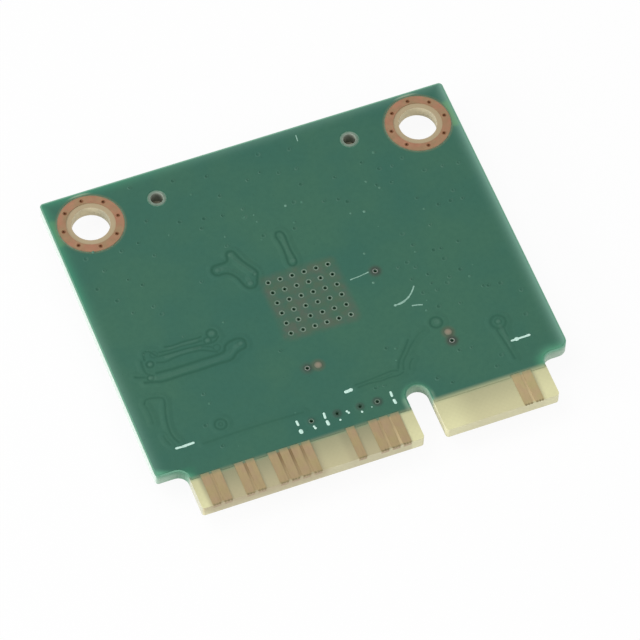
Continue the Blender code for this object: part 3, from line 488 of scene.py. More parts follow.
def make_groups():
    """The shared effects, with sizes in millimetres."""
    s, taken, given = new_group("grain", {"Size": 0.3, "Stretch": (1.0, 1.0, 1.0)},
                                ["Tone", "Height"])
    place = s.vector("DIVIDE", s.place(), taken["Stretch"])
    scale = s.math("DIVIDE", 1.0, taken["Size"])
    coarse = s.noise(place, scale, 3.0, 0.6)
    fine = s.noise(place, s.times(scale, 3.7))
    s.feed(given["Tone"], s.ramp(coarse, 0.3, 0.7))
    s.feed(given["Height"], s.math("MULTIPLY_ADD", fine, 0.4, coarse))

    s, taken, given = new_group("specks", {"Spacing": 0.5, "Radius": 0.1, "Share": 0.3}, ["Mask"])
    scale = s.math("DIVIDE", 1.0, taken["Spacing"])
    cell = s.node("TexVoronoi", {"Vector": s.place(), "Scale": scale})
    reach = s.math("DIVIDE", taken["Radius"], taken["Spacing"])
    near = s.ramp(cell.outputs["Distance"], reach, s.times(reach, 0.4))
    chosen = s.node("SeparateColor", {0: cell.outputs["Color"]}).outputs[0]
    s.feed(given["Mask"], s.times(near, s.math("LESS_THAN", chosen, taken["Share"])))

    s, taken, given = new_group("weave", {"Pitch": 0.45}, ["Tone"])
    x, y, _ = s.frame_axes()
    turn = s.math("DIVIDE", 2 * math.pi, taken["Pitch"])
    waves = [s.math("SINE", s.times(axis, turn)) for axis in (x, y)]
    s.feed(given["Tone"], s.math("MULTIPLY_ADD", s.times(*waves), 0.5, 0.5))

    s, taken, given = new_group("plies", {"Pitch": 0.14}, ["Tone"])
    waver = s.noise(s.place(), 0.6)
    level = s.math("MULTIPLY_ADD", waver, 0.12, s.frame_axes()[2])
    turn = s.math("DIVIDE", 2 * math.pi, taken["Pitch"])
    wave = s.math("SINE", s.times(level, turn))
    s.feed(given["Tone"], s.math("MULTIPLY_ADD", wave, 0.5, 0.5))

    s, taken, given = new_group("soft box", {"Middle": (0.0, 0.0, 0.0), "Half": (1.0, 1.0, 1.0),
                                             "Soft": 0.2}, ["Mask"])
    away = s.vector("SUBTRACT", s.place(), taken["Middle"])
    away = s.vector("SUBTRACT", s.vector("ABSOLUTE", away), taken["Half"])
    outside = s.length(s.vector("MAXIMUM", away))
    s.feed(given["Mask"], s.ramp(outside, taken["Soft"], 0.0))

    s, taken, given = new_group("disc", {"Middle": (0.0, 0.0, 0.0), "Radius": 1.0, "Soft": 0.1},
                                ["Mask"])
    away = s.vector("SUBTRACT", s.place(), taken["Middle"])
    flat = s.vector("MULTIPLY", away, (1.0, 1.0, 0.0))
    rim = s.math("ADD", taken["Radius"], taken["Soft"])
    s.feed(given["Mask"], s.ramp(s.length(flat), rim, taken["Radius"]))


def new_material(name, roughness, metallic=0.0):
    """A material with its Shading and its Principled shader."""
    material = bpy.data.materials.new(name)
    material.use_nodes = True
    shader = material.node_tree.nodes["Principled BSDF"]
    shader.inputs["Roughness"].default_value = roughness
    shader.inputs["Metallic"].default_value = metallic
    return material, Shading(material.node_tree), shader.inputs


def add_bump(s, inputs, height, depth, strength=1.0):
    """Fine relief from a height between 0 and 1, with the depth in millimetres."""
    values = {"Height": height, "Distance": depth * MM, "Strength": strength}
    s.feed(inputs["Normal"], s.node("Bump", values).outputs[0])


def make_mask_material():
    """Green solder mask over copper: a painted glow by the board's edges, darker in copper gaps.

    It is browner over the field of vias, round the lone vias and round bare copper.
    """
    material, s, inputs = new_material("green_solder_mask", 0.45)
    inputs["Specular IOR Level"].default_value = 0.35
    x, y, z = s.axes()
    broad = s.group("grain", size=6.0)["Tone"]
    colour = s.blend(broad, linear(37, 92, 76), linear(47, 97, 76))
    fine = s.group("grain", size=0.35)
    colour = s.tint(colour, (33, 83, 67), fine["Tone"], 0.25)
    waver = s.group("grain", size=0.8)["Tone"]
    patch = s.group("grain", size=1.3)["Tone"]
    field = s.box(*GRID_CENTRE, 2.3, half=(2.35, 2.35, 0.3), soft=0.7)
    brown_tone = s.blend(patch, linear(66, 90, 66), linear(82, 86, 74))
    colour = s.blend(s.times(field, s.shift(waver, 0.3, 0.8)), colour, brown_tone)

    # Painted light: a glow painted along the mask's left, right and far edges
    left = s.glow(s.math("SUBTRACT", -13.72, x), 3.0, 0.22)
    right = s.glow(s.math("SUBTRACT", x, 13.2), 5.0, 0.06)
    far = s.glow(s.math("SUBTRACT", y, 25.445), 3.0, 0.19)
    clear = s.times(s.ramp(x, 0, -12), s.ramp(y, 14.275, 19.275))
    edge_glow_tone = s.blend(clear, linear(133, 179, 161), linear(84, 188, 146))
    colour = s.blend(s.most(left, right, far), colour, edge_glow_tone)
    # Painted highlights by the slot's end and on both shoulders of the tongue
    slot_end = s.glow(s.disc(3.76, 3.1, 0.8, 0.6), 2.0, 0.36)
    right_shoulder = s.box(14.35, 2.2, 2.3, half=(0.7, 0.25, 1), soft=2.0)
    right_shoulder = s.glow(right_shoulder, 2.0, 1.6)
    # The left shoulder's painted highlight runs aslant, and starts where y + 0.47 x is -2.795
    aslant = s.ramp(s.math("MULTIPLY_ADD", x, 0.47, y), -2.795, -3.445)
    left_shoulder = s.glow(s.times(aslant, s.ramp(x, -11.8, -13.0)), 2.0, 0.58)
    colour = s.tint(colour, (100, 176, 138), s.most(slot_end, right_shoulder, left_shoulder))

    for px, py in SCREW_PLACES:
        colour = s.tint(colour, (116, 112, 80), s.disc(px, py, 2.38, 0.16), 0.45)
        # Painted highlight: a pale arc on the far side of each screw pad
        far_side_highlight = s.times(s.disc(px, py, 2.48, 0.14), s.ramp(y, 26.26, 26.46))
        colour = s.tint(colour, (172, 190, 160), far_side_highlight, 0.55)
        outside = s.box(1.205 * px, py, 2.3, half=(0.05, 0.9, 1), soft=0.4)
        colour = s.tint(colour, (112, 165, 106), outside, 0.4 if px > 0 else 0.25)
    for px, py in LONE_VIAS:
        colour = s.tint(colour, (66, 62, 50), s.disc(px, py, 0.3, 0.36), 0.3)
    for px, py in TEST_DOTS:
        colour = s.tint(colour, (92, 86, 64), s.disc(px, py, 0.27, 0.36), 0.48)
    for px, py in RECEPTACLE_PLACES:
        # Painted light: the lower mask at the bottom of each ringed hole is painted pale, to light
        # a floor that lies in shade
        bottom = s.times(s.disc(px, py, 0.46, 0.02), s.ramp(z, 1.45, 1.4))
        colour = s.tint(colour, (188, 184, 162), bottom)

    near = s.box(0, 0, 2, half=(20, 3.05, 2), soft=0.4)
    outer = s.ramp(s.math("ABSOLUTE", x), 11.9, 12.8)
    colour = s.tint(colour, (40, 125, 88), near, outer, 0.25)
    by_slot = s.box(3.78, 2.55, 2.3, half=(0.82, 0.45, 1), soft=0.45)
    colour = s.tint(colour, (165, 190, 165), by_slot, 0.35)
    short_side = s.ramp(x, *SLOT_SIDES)
    thin = s.blend(short_side, linear(158, 156, 122), linear(188, 188, 146))
    short_share = s.times(s.ramp(y, 2.7, 2.2), 0.7)
    long_share = s.times(s.ramp(y, 2.58, 2.15), 0.5)
    colour = s.blend(s.shift(short_side, long_share, short_share), colour, thin)

    dark = s.group("specks", spacing=0.42, radius=0.05, share=0.16)["Mask"]
    colour = s.tint(colour, (18, 60, 46), dark, 0.45)
    pale = s.group("specks", spacing=0.9, radius=0.055, share=0.1)["Mask"]
    colour = s.tint(colour, (120, 170, 150), pale, 0.3)
    # Darker in copper gaps and at the dimples' middles; paler over covered tracks and pads, and on
    # each dimple's painted highlight
    colour = s.tint(colour, (0, 70, 50), s.attribute("dip"), 0.75)
    colour = s.tint(colour, (92, 126, 110), s.attribute("rise"), 0.25)
    burn = s.times(s.attribute("burn"), s.shift(waver, 0.85, 1.0))
    colour = s.tint(colour, (46, 50, 44), burn)
    s.feed(inputs["Base Color"], colour)
    s.feed(inputs["Roughness"], s.shift(fine["Tone"], 0.4, 0.52))
    add_bump(s, inputs, fine["Height"], 0.012, 0.5)
    return material


def make_laminate_material():
    """Bare glass-epoxy: cream, browner over inner copper, with plies and a green top on walls."""
    material, s, inputs = new_material("glass_epoxy_laminate", 0.55)
    x, y, z = s.axes()
    cloth = s.group("weave", pitch=0.42)["Tone"]
    broad = s.group("grain", size=2.6)["Tone"]
    short_side = s.ramp(x, *SLOT_SIDES)
    on_top = s.ramp(z, UPPER_FACE - 0.0015, UPPER_FACE - 0.0005)

    # The top of the tongue
    spot = s.box(-3.15, 1.2, 2.3, half=(0.6, 2, 2), soft=0.6)
    long_plane = s.times(s.ramp(x, -12.5, -12.0), s.ramp(x, 2.25, 2.0))
    long_plane = s.math("SUBTRACT", long_plane, s.times(spot, 0.25))
    short_plane = s.times(s.ramp(x, 5.2, 7.4), s.ramp(x, 12.1, 11.6), 0.42)
    plane = s.most(long_plane, short_plane)
    cream = s.blend(broad, linear(212, 209, 162), linear(219, 216, 168))
    colour = s.tint(cream, (174, 165, 129), plane)
    colour = s.tint(colour, (150, 146, 110), cloth, 0.06)
    root = s.times(s.ramp(y, -0.3, 2.6), s.shift(plane, 0.3, 0.8))
    colour = s.tint(colour, (124, 126, 96), root)
    film = s.times(s.ramp(y, 2.0, 2.4), s.shift(short_side, 0.6, 0.3))
    colour = s.tint(colour, (104, 146, 112), film)
    inward = s.ramp(y, 0.4, 2.0)
    for place, at_ends, at_mask in BROWN_GAPS:
        gap = s.box(place, 1.25, 2.3, half=(0.1, 1.15, 1), soft=0.16)
        brown = s.shift(inward, at_ends, at_mask)
        brown_tone = s.blend(brown, linear(197, 177, 133), linear(125, 102, 65))
        colour = s.blend(gap, colour, brown_tone)

    # The walls, cream round the tongue and greener elsewhere
    plies = s.group("plies", pitch=0.15)["Tone"]
    tongue_wall = s.blend(plane, linear(224, 220, 180), linear(205, 198, 164))
    under_contacts = s.times(s.ramp(x, -3.4, -4.4), s.ramp(z, 1.1, 2.3), 0.6)
    tongue_wall = s.tint(tongue_wall, (176, 158, 124), under_contacts)
    tongue_wall = s.tint(tongue_wall, (170, 165, 130), plies, 0.1)
    # Painted light: the tongue's walls that face left, towards the side lamp, get a greyer tone of
    # their own
    left_facing_painted_light = s.most(s.ramp(x, -12.78, -12.83),
                         s.times(s.ramp(x, 4.5, 4.54), s.ramp(x, 4.66, 4.6)))
    tongue_wall = s.tint(tongue_wall, (194, 193, 172), left_facing_painted_light)
    depth = s.ramp(z, 2.4, 1.75)
    green_wall = s.blend(depth, linear(112, 166, 138), linear(172, 196, 178))
    green_wall = s.tint(green_wall, (140, 170, 148), plies, 0.15)
    sunlit = s.times(s.ramp(x, -14.84, -14.9), 0.8)
    green_wall = s.tint(green_wall, (206, 217, 210), sunlit)
    slot_end = s.box(3.76, 3.6, 1.8, half=(1.0, 0.8, 1), soft=0.3)
    green_wall = s.tint(green_wall, (130, 165, 138), slot_end, 0.5)
    left_shoulder = s.times(s.ramp(y, 3.675, 3.475), s.ramp(x, -12.7, -13.0),
                            s.ramp(x, -14.9, -14.84))
    shade = s.times(s.shift(depth, 0.85, 0.45), s.shift(s.ramp(x, -13.6, -14.6), 1, 0.4))
    green_wall = s.tint(green_wall, (84, 144, 116), left_shoulder, shade)
    bend = s.times(left_shoulder, s.ramp(x, -13.9, -13.1), 0.6)
    green_wall = s.tint(green_wall, (48, 108, 80), bend)
    wall = s.blend(s.ramp(y, 2.675, 2.075), green_wall, tongue_wall)
    colour = s.blend(on_top, wall, colour)

    # The skirt that the mask leaves bare by the board's edge, and the screw holes' rings
    in_ring = s.most(*[s.disc(px, py, 2.0, 0.2) for px, py in SCREW_PLACES])
    skirt = s.times(on_top, s.ramp(y, 2.175, 2.375), s.math("SUBTRACT", 1.0, in_ring))
    beside = s.blend(short_side, linear(100, 124, 98), linear(146, 152, 118))
    rim = s.blend(slot_end, linear(104, 158, 132), linear(66, 122, 98))
    near_contacts = s.ramp(y, 2.6, 2.38)
    colour = s.blend(skirt, colour, s.blend(near_contacts, rim, beside))
    left_lit, right_lit = (s.disc(px + 1.4, py, 0.7, 1.1) for px, py in SCREW_PLACES)
    lamp_side = s.most(left_lit, s.times(right_lit, 0.6))
    bore = s.blend(lamp_side, linear(222, 210, 176), linear(172, 166, 140))
    colour = s.blend(in_ring, colour, s.tint(bore, (168, 151, 119), on_top))
    under = s.ramp(z, LOWER_FACE - 0.0002, LOWER_FACE - 0.001)
    colour = s.tint(colour, (186, 158, 112), under)
    s.feed(inputs["Base Color"], colour)
    s.feed(inputs["Metallic"], s.times(under, 0.6))
    add_bump(s, inputs, cloth, 0.006, 0.3)
    return material


def make_metal(name, tones, roughness, metallic, grain=0.4, stretch=(1.0, 1.0, 1.0), depth=0.006,
               spots=None, clouds=None, film=0.0):
    """Metal with two tones in fine streaks.

    It can also have darker spots of tarnish, broad clouds of two more tones, and a film of mask
    over the inner end of a contact.
    """
    material, s, inputs = new_material(name, roughness[0], metallic)
    streaks = s.group("grain", size=grain, stretch=stretch)
    colour = s.blend(streaks["Tone"], linear(*tones[0]), linear(*tones[1]))
    if clouds:
        broad = s.group("grain", size=1.1)["Tone"]
        colour = s.blend(0.5, colour, s.blend(broad, linear(*clouds[0]), linear(*clouds[1])))
    if spots:
        tarnish = s.group("specks", spacing=0.5, radius=0.09, share=0.25)["Mask"]
        colour = s.tint(colour, spots, tarnish, 0.5)
    if film:
        covered = s.times(s.ramp(s.axes()[1], 2.05, 2.55), film)
        colour = s.tint(colour, (62, 112, 88), covered)
    s.feed(inputs["Base Color"], colour)
    s.feed(inputs["Roughness"], s.shift(streaks["Tone"], *roughness))
    add_bump(s, inputs, streaks["Height"], depth, 0.5)
    return material


def make_plain(name, tones, roughness, grain=0.25, depth=0.01, attribute=None):
    """Moulded plastic, ceramic or ink: two tones in a fine grain, with a little relief.

    Where an attribute is named, its number says where between the tones each point is.
    """
    material, s, inputs = new_material(name, roughness[0])
    cloud = s.group("grain", size=grain)
    share = cloud["Tone"]
    if attribute:
        share = s.attribute(attribute)
    s.feed(inputs["Base Color"], s.blend(share, linear(*tones[0]), linear(*tones[1])))
    s.feed(inputs["Roughness"], s.shift(cloud["Tone"], *roughness))
    add_bump(s, inputs, cloud["Height"], depth, 0.5)
    return material


def cover_nodes(material, starts):
    """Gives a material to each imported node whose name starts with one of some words."""
    for name, node in NODES.items():
        if name.startswith(starts):
            node.data.materials.clear()
            node.data.materials.append(material)


# Pieces

def grid_vias():
    """Where the square field of vias has its own, row by row."""
    offsets = (np.arange(GRID_SIDE) - (GRID_SIDE - 1) / 2) * GRID_PITCH
    dx, dy = np.meshgrid(offsets, offsets)
    return np.c_[dx.ravel() + GRID_CENTRE[0], dy.ravel() + GRID_CENTRE[1]]


def screw_pad_vias():
    """Where the eight small vias stand in each screw pad, on a circle."""
    turn = np.arange(8) * np.pi / 4
    ring = np.c_[np.cos(turn), np.sin(turn)] * PAD_VIA_CIRCLE
    return np.vstack([ring + place for place in SCREW_PLACES])


def dome(radius, height, places, sides=12):
    """A low cap with the height h(r) = height * (1 - (r / radius) ** 2), flat underneath."""
    share = np.linspace(0, 1, 5)
    top = np.c_[radius * share, MASK_TOP + height * (1 - share ** 2)]
    profile = np.vstack([top, [(0.9 * radius, MASK_TOP - 0.004), (0, MASK_TOP - 0.004)]])
    return turned(profile, places, sides)


def make_relief(mask):
    """The mask where it dips into gaps in the copper and rises over tracks and pads.

    Within half a millimetre of a gap the sheet stands a little proud of the flat mask. A gap is a
    dip of exp(-(distance / half width) ** 2), and a track or pad is a rise with soft sides.
    """
    x, y = np.meshgrid(*(np.arange(*ends, RELIEF_CELL) for ends in RELIEF_AREA), indexing="ij")
    nearest = np.full(x.shape, RELIEF_REACH)
    dip, rise = np.zeros(x.shape), np.zeros(x.shape)
    for half, depth, *corners in COPPER_GAPS:
        away = away_from(corners, x, y, RELIEF_REACH)
        nearest = np.minimum(nearest, away)
        dip = np.maximum(dip, depth * np.exp(-(away / half) ** 2) * (away < RELIEF_REACH))
    for px, py, radius, half, depth in ROUND_GAPS:
        away = np.abs(np.hypot(x - px, y - py) - radius)
        nearest = np.minimum(nearest, away)
        dip = np.maximum(dip, depth * np.exp(-(away / half) ** 2))
    for half, *corners in COVERED_TRACKS:
        away = away_from(corners, x, y, RELIEF_REACH)
        rise = np.maximum(rise, 0.5 * fade(away, half + 0.06, half - 0.04))
    for px, py, radius in COVERED_PADS:
        rise = np.maximum(rise, fade(np.hypot(x - px, y - py), radius + 0.05, radius - 0.06))
    open_cell, burn = np.ones(x.shape, bool), np.zeros(x.shape)
    for px, py, radius, depth in VIA_HALOS + DOT_HALOS:
        away = np.hypot(x - px, y - py)
        nearest = np.minimum(nearest, away)
        burn = np.maximum(burn, depth * fade(away, radius, 0.55 * radius))
        open_cell &= away > VIA_OPENING
    lift = fade(nearest, 0.55, 0.15)
    dip = np.maximum(dip, 0.1)
    z = MASK_TOP - 0.003 + lift * (0.026 - 0.021 * dip + 0.012 * rise)
    points, faces, used = closed_sheet(np.stack([x, y, z], axis=-1), (lift > 0) & open_cell,
                                       MASK_TOP - 0.006)
    shade, glow, brown = (np.tile((value * lift).ravel()[used], 2) for value in (dip, rise, burn))
    make_piece("track_relief", [(points, faces)], mask, "solder_mask", dip=shade, rise=glow,
               burn=brown)
    make_tented_vias(mask)


def make_tented_vias(mask):
    """Filled vias as dimples in three sizes, some darker, each with a paler crescent painted on as
    a highlight.
    """
    dimple = ((0, 0.002), (0.095, 0.003), (0.115, 0.016), (0.15, 0.012), (0.19, -0.002),
              (0.18, -0.005), (0, -0.005))
    dark, pale = (0.9, 0.8, 0.2, 0, 0, 0, 0), (0, 0, 0.7, 1.0, 0.4, 0, 0)
    sides, dots, shades, painted_highlights = 12, [], [], []
    turn = np.linspace(0, 2 * np.pi, sides, endpoint=False)
    for first, size in enumerate((0.85, 1.0, 1.15)):
        # Painted highlight: each dimple's paler crescent lies on the side that faces the light
        crescent = np.maximum(np.cos(turn - 3.6 - first), 0)
        places = TENTED_VIAS[first::3]
        dots.append(turned([(size * radius, MASK_TOP + height) for radius, height in dimple],
                           places, sides))
        along = np.repeat(np.arange(len(places)), sides * len(dimple))
        strength = 0.6 + 0.4 * np.sin(2.4 * along + first)
        shades.append(np.tile(dark, len(places) * sides) * strength)
        painted_highlights.append(np.tile(np.outer(crescent, pale).ravel(), len(places)) * (1.5 - strength))
    make_piece("tented_vias", dots, mask, "solder_mask", dip=np.concatenate(shades),
               rise=np.concatenate(painted_highlights))


def make_marks(ink, scuff, dust):
    """Printed bars, pale scuffs where the mask was scraped, and flecks of dust."""
    bars = [ribbon(corners, half, slab_section(0.012), MASK_TOP, step=0.05)
            for half, *corners in PRINTED_BARS]
    make_piece("printed_bars", bars, ink, "white_ceramic")
    scrapes = [ribbon(corners, half, slab_section(0.006), MASK_TOP, step=0.05)
               for half, *corners in SCUFFS]
    make_piece("scuffs", scrapes, scuff, "solder_mask")
    flecks = [dome(radius, 0.4 * radius, [(x, y)]) for x, y, radius, _ in FLECKS]
    pale = np.repeat([row[3] for row in FLECKS], len(flecks[0][0]))
    make_piece("dust_flecks", flecks, dust, "solder_mask", pale=pale)


def make_contact_ends(stub, bar):
    """The cut ends of the plating bars: dark spots at each contact's end, and the bar's foot.

    The foot is a thin patch on the board's end wall under the contact.
    """
    spots = np.array([(x + step, -0.075) for x in CONTACTS for step in (-0.2, 0.0, 0.2)])
    profile = [(0, COPPER_TOP + 0.002), (0.055, COPPER_TOP + 0.002), (0.085, COPPER_TOP - 0.001),
               (0.085, UPPER_FACE), (0, UPPER_FACE)]
    make_piece("contact_ends", [turned(profile, spots, 10)], stub, "contact_gold")
    feet = [pillow((x - 0.29, -0.106, 2.02), (x + 0.29, -0.07, 2.33), 0.2) for x in CONTACTS[:-2]]
    make_piece("plating_feet", feet, bar, "contact_gold")


def make_test_dots(copper):
    """Two bare copper dots, each a low flat cap in the mask and duller at its rim."""
    sides = 24
    cap = [(0, 0.032), (0.14, 0.032), (0.22, 0.029), (0.26, 0.02), (0.27, -0.004), (0, -0.004)]
    profile = [(radius, MASK_TOP + height) for radius, height in cap]
    pale = np.tile((1, 0.75, 0.25, 0.1, 0, 0), sides * len(TEST_DOTS))
    make_piece("test_dots", [turned(profile, TEST_DOTS, sides)], copper, "bare_copper", pale=pale)


def make_barrels(barrel):
    """The plated walls of the two ringed holes, as thin tubes."""
    sides, bottom = 40, LOWER_FACE - 0.03
    tube = [(0.435, 2.15), (0.435, 2.3), (0.445, 2.35), (0.455, 2.358), (0.474, 2.358),
            (0.474, bottom), (0.435, bottom)]
    pale = np.tile((0, 0.2, 0.45, 0.45, 0.45, 0, 0), sides * len(RECEPTACLE_PLACES))
    make_piece("hole_barrels", [turned(tube, RECEPTACLE_PLACES, sides)], barrel, "tinned_rim",
               pale=pale)


def make_ring_edges(edge, tarnish):
    """The darker rim of each screw pad, by the mask, and of the small vias in it."""
    band = [(2.27, COPPER_TOP - 0.004), (2.29, COPPER_TOP + 0.0015), (2.33, COPPER_TOP + 0.0015),
            (2.345, COPPER_TOP - 0.004)]
    make_piece("pad_rims", [turned(band, SCREW_PLACES, 96)], edge, "bare_copper")
    # The small vias' rims are dark partly from tarnish and partly as painted shade at the holes'
    # edges
    lip = [(0.095, COPPER_TOP - 0.006), (0.11, COPPER_TOP + 0.002), (0.15, COPPER_TOP + 0.0015),
           (0.17, COPPER_TOP - 0.006)]
    make_piece("pad_via_rims", [turned(lip, screw_pad_vias(), 14)], tarnish, "bare_copper")


def open_part_boxes():
    """The low and high corners of each small part outside the shield, in card millimetres."""
    return [[np.array(corner) / MM - (0, ENDS_Y, 0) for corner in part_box(name)]
            for name in NODES if name.startswith(("coupling_", "edge_", "matching_"))]


def make_terminals(tin):
    """Tinned ends, a little larger than the solids' own, on the small parts outside the shield."""
    ends, over, long = [], 0.008, 0.27
    for low, high in open_part_boxes():
        low, high = low - over, high + (over, over, 0)
        for y0, y1 in ((low[1], low[1] + long), (high[1] - long, high[1])):
            ends.append(pillow((low[0], y0, low[2]), (high[0], y1, high[2]), 0.18))
    make_piece("part_ends", ends, tin, "tinned_rim")


def make_fillets(solder):
    """Solder that runs from each open part's end down to the board.

    Its section is a quarter circle hollow: height = h * (1 - sqrt(1 - (1 - d / w) ** 2)) at a
    distance d from the end's face, with w its width. Across the part, the height is multiplied
    by sqrt(1 - 0.6 * share ** 4).
    """
    width, tall, heaps = 0.22, 0.2, []
    share = np.linspace(0, 1, 6)
    across = np.linspace(-1, 1, 7)[:, None]
    out = width * np.r_[share, 1, 0]
    down = np.r_[tall * (1 - np.sqrt(1 - (1 - share) ** 2)), -0.01, -0.01]
    z = SEAT - down * np.sqrt(1 - 0.6 * across ** 4)
    for low, high in open_part_boxes():
        x = (low[0] + high[0]) / 2 + (high[0] - low[0]) / 2 * across
        for face, way in ((low[1], -1), (high[1], 1)):
            rows = np.stack(np.broadcast_arrays(x, face + way * out, z), axis=-1)
            middles = np.zeros_like(rows) + rows.mean(axis=1, keepdims=True)
            closed = np.concatenate([middles[:1], rows, middles[-1:]])
            heaps.append(skin(closed[None], round_v=True))
    make_piece("solder_fillets", heaps, solder, "tinned_rim")


def make_vias(rim, pale_rim, bore, pad_bore):
    """A thin raised rim round each via and a dark lining down to where it is plugged.

    The lone vias stand in the relief sheet, so their rims are a little taller. Those in the
    screw pads are filled nearly to the top.
    """
    for name, places, lift, material in (
            ("via_rims", grid_vias(), 0.006, rim), ("lone_via_rims", LONE_VIAS, 0.034, pale_rim),
            ("fan_out_rims", FAN_OUT_VIAS[::3], 0.032, rim)):
        profile = [(0.125, UPPER_FACE), (0.125, MASK_TOP - 0.004), (0.145, MASK_TOP + lift),
                   (0.175, MASK_TOP + lift), (0.2, MASK_TOP), (0.204, UPPER_FACE)]
        make_piece(name, [turned(profile, places, 16)], material, "tinned_rim")
    for name, places, floor, material, slot in (
            ("via_linings", np.vstack([grid_vias(), LONE_VIAS, FAN_OUT_VIAS]), 1.9, bore,
             "black_moulding"),
            ("pad_via_linings", screw_pad_vias(), 2.25, pad_bore, "bare_copper")):
        plug = [(0, floor), (0.1, floor), (0.1, COPPER_TOP - 0.002), (0.125, COPPER_TOP - 0.002),
                (0.125, floor - 0.05), (0, floor - 0.05)]
        make_piece(name, [turned(plug, places, 12)], material, slot)


def main():
    """The materials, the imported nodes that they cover, and then the scene's own pieces."""
    make_groups()
    mask = make_mask_material()
    laminate = make_laminate_material()
    along_contact = dict(grain=0.25, stretch=(0.5, 3.0, 1.0))
    gold = make_metal("worn_gold", ((151, 132, 97), (163, 145, 108)), (0.42, 0.55), 0.35,
                      clouds=((158, 130, 102), (158, 142, 94)), film=0.6, **along_contact)
    bright_gold = make_metal("clean_gold", ((162, 146, 106), (172, 157, 116)), (0.42, 0.55), 0.35,
                             clouds=((174, 144, 112), (164, 154, 102)), film=0.4, **along_contact)
    copper = make_metal("bare_copper", ((138, 107, 79), (156, 124, 95)), (0.45, 0.6), 0.3,
                        grain=0.5, spots=(122, 84, 60), clouds=((168, 108, 84), (138, 120, 84)))
    copper_rim = make_metal("dark_copper_rim", ((116, 100, 74), (134, 112, 86)), (0.5, 0.6), 0.25)
    # Tarnish with painted shade, for the rims of the small vias in the screw pads
    tarnish_and_shade = make_metal("tarnished_and_shaded_copper", ((108, 64, 34), (132, 84, 50)), (0.5, 0.6), 0.2,
                           grain=0.15)
    tin = make_metal("dull_tin", ((92, 116, 100), (116, 134, 120)), (0.5, 0.6), 0.1)
    pale_tin = make_metal("pale_tin", ((120, 128, 120), (144, 150, 142)), (0.45, 0.6), 0.1,
                          grain=0.15)
    solder = make_metal("bright_tin", ((176, 178, 176), (204, 205, 202)), (0.28, 0.4), 0.85,
                        grain=0.15)
    sheet = make_metal("tinned_steel_sheet", ((186, 187, 185), (200, 201, 199)), (0.3, 0.36), 0.9,
                       grain=0.6, stretch=(3.0, 0.6, 1.0), depth=0.002)
    coaxial = make_metal("receptacle_gold", ((200, 168, 100), (220, 188, 122)), (0.24, 0.36), 0.9)
    barrel = make_plain("plated_barrel", ((136, 142, 130), (146, 162, 146)), (0.5, 0.6),
                        grain=0.3, attribute="pale")
    dull_copper = make_plain("dull_copper", ((88, 96, 78), (134, 122, 104)), (0.45, 0.6),
                             grain=0.12, attribute="pale")
    # The receptacle bases: a pale moulding whose tone is raised further as painted light, since it
    # lies in shade
    moulding = make_plain("receptacle_moulding", ((188, 168, 150), (204, 186, 168)), (0.5, 0.65))
    package = make_plain("chip_moulding", ((36, 35, 34), (50, 48, 47)), (0.5, 0.65), grain=0.12)
    white = make_plain("white_ceramic", ((206, 200, 186), (222, 216, 202)), (0.4, 0.5))
    tan = make_plain("tan_ceramic", ((158, 130, 96), (176, 148, 112)), (0.45, 0.6), grain=0.15)
    ferrite = make_plain("dark_ferrite", ((62, 62, 66), (82, 82, 86)), (0.55, 0.7), grain=0.1)
    dark = make_plain("via_bore", ((24, 66, 42), (38, 80, 54)), (0.5, 0.7))
    rusty = make_plain("rusty_bore", ((98, 50, 12), (124, 70, 24)), (0.5, 0.7))
    ink = make_plain("white_print", ((182, 220, 206), (204, 234, 222)), (0.5, 0.6), grain=0.12)
    scuff = make_plain("scraped_mask", ((118, 158, 142), (146, 184, 168)), (0.5, 0.7), grain=0.1)
    dust = make_plain("dust", ((46, 98, 78), (142, 184, 166)), (0.7, 0.8), grain=0.1,
                      attribute="pale")
    stub = make_plain("cut_plating", ((116, 104, 70), (146, 133, 92)), (0.5, 0.6), grain=0.1)
    bar = make_plain("plating_stain", ((168, 148, 118), (186, 166, 136)), (0.5, 0.65), grain=0.2)
    for material, names in (
            (laminate, ("circuit_board",)), (mask, ("upper_solder_mask", "lower_solder_mask")),
            (gold, ("contact_",)), (bright_gold, ("contact_02", "contact_04")),
            (copper, ("screw_pad_",)), (tin, ("plated_land_",)), (sheet, ("shield_",)),
            (coaxial, ("receptacle_shell_", "receptacle_pin_")), (moulding, ("receptacle_base_",)),
            (package, ("radio_chip", "front_end_chip_", "memory_chip", "edge_resistor_")),
            (white, ("crystal", "band_filter_")), (ferrite, ("power_inductor_", "matching_coil_")),
            (tan, ("bulk_capacitor_", "decoupling_capacitor_", "coupling_capacitor_",
                   "matching_capacitor_"))):
        cover_nodes(material, names)
    make_vias(tin, pale_tin, dark, rusty)
    make_relief(mask)
    make_marks(ink, scuff, dust)
    make_contact_ends(stub, bar)
    make_test_dots(dull_copper)
    make_barrels(barrel)
    make_ring_edges(copper_rim, tarnish_and_shade)
    make_terminals(solder)
    make_fillets(solder)
    make_stage()
    make_camera()


def seen_directly(s):
    """1 for what the camera sees straight, or by way of metal or glass."""
    path = s.node("LightPath").outputs
    return s.most(path["Is Camera Ray"], path["Is Glossy Ray"], path["Is Transmission Ray"])


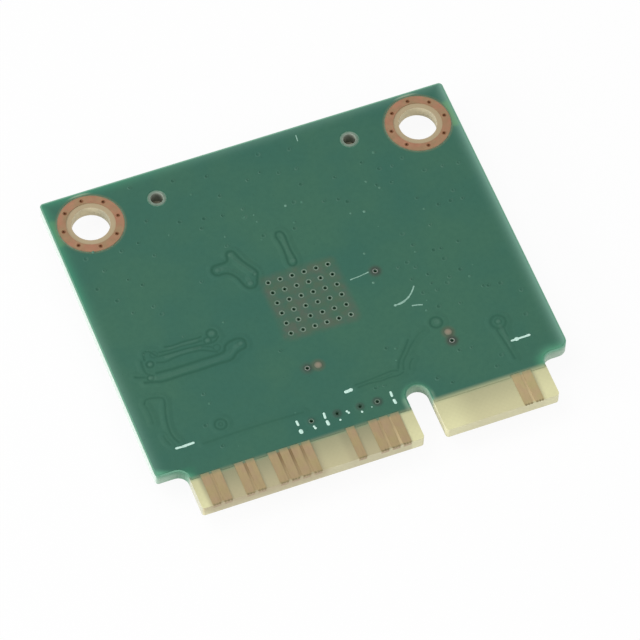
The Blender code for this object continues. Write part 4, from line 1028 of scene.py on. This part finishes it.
def make_stage():
    """A pale floor that the camera sees nearly white, soft lamps, and an even white surround."""
    mesh = bpy.data.meshes.new("floor")
    corners = [(-0.6, -0.6, 0), (0.6, -0.6, 0), (0.6, 0.6, 0), (-0.6, 0.6, 0)]
    mesh.from_pydata(corners, [], [(0, 1, 2, 3)])
    floor = bpy.data.objects.new("floor", mesh)
    bpy.context.scene.collection.objects.link(floor)
    material = bpy.data.materials.new("pale_floor")
    material.use_nodes = True
    s = Shading(material.node_tree)
    shader = material.node_tree.nodes["Principled BSDF"]
    shader.inputs["Base Color"].default_value = (0.86, 0.86, 0.86, 1.0)
    shader.inputs["Roughness"].default_value = 0.9
    glow = s.node("Emission", {"Color": (1, 1, 1, 1), "Strength": 1.0}).outputs[0]
    share = s.times(seen_directly(s), 0.93)
    mixed = s.node("MixShader", {0: share, 1: shader.outputs[0], 2: glow})
    output = material.node_tree.nodes["Material Output"]
    s.feed(output.inputs["Surface"], mixed.outputs[0])
    mesh.materials.append(material)

    world = bpy.data.worlds.new("soft_surround")
    bpy.context.scene.world = world
    world.use_nodes = True
    s = Shading(world.node_tree)
    background = world.node_tree.nodes["Background"]
    background.inputs["Color"].default_value = (1, 1, 1, 1)
    s.feed(background.inputs["Strength"], s.shift(seen_directly(s), 0.5, 1.0))

    for name, size, power, place in (("key_lamp", 0.3, 0.82, (-0.2, 0.12, 0.42)),
                                     ("side_lamp", 0.24, 1.5, (-0.46, -0.04, 0.13)),
                                     ("fill_lamp", 0.36, 0.45, (0.2, -0.34, 0.26))):
        lamp = bpy.data.lights.new(name, "AREA")
        lamp.size = size
        lamp.energy = power
        placed = bpy.data.objects.new(name, lamp)
        placed.location = place
        placed.rotation_euler = Vector(place).to_track_quat("Z", "Y").to_euler()
        bpy.context.scene.collection.objects.link(placed)


def make_camera():
    """The photo's view: the camera stands in front, to the left, and is turned a little."""
    azimuth, elevation, roll = (math.radians(a) for a in (-22.854, 57.164, 2.055))
    distance, aim = 352.255, Vector(board_place(-0.179, 11.087, MASK_TOP))
    back = Vector((math.sin(azimuth) * math.cos(elevation),
                   -math.cos(azimuth) * math.cos(elevation), math.sin(elevation)))
    right = Vector((math.cos(azimuth), math.sin(azimuth), 0))
    up = back.cross(right)
    turned_right = right * math.cos(roll) + up * math.sin(roll)
    turned_up = up * math.cos(roll) - right * math.sin(roll)
    camera = bpy.data.objects.new("camera", bpy.data.cameras.new("camera"))
    axes = Matrix((turned_right, turned_up, back)).transposed().to_4x4()
    camera.matrix_world = Matrix.Translation((aim + back * distance) * MM) @ axes
    focal_pixels, frame_pixels = 5183.15, 640
    camera.data.lens = camera.data.sensor_width * focal_pixels / frame_pixels
    camera.data.clip_start, camera.data.clip_end = 0.02, 5
    bpy.context.scene.collection.objects.link(camera)
    bpy.context.scene.camera = camera


main()
bpy.context.scene.view_settings.view_transform = "Standard"
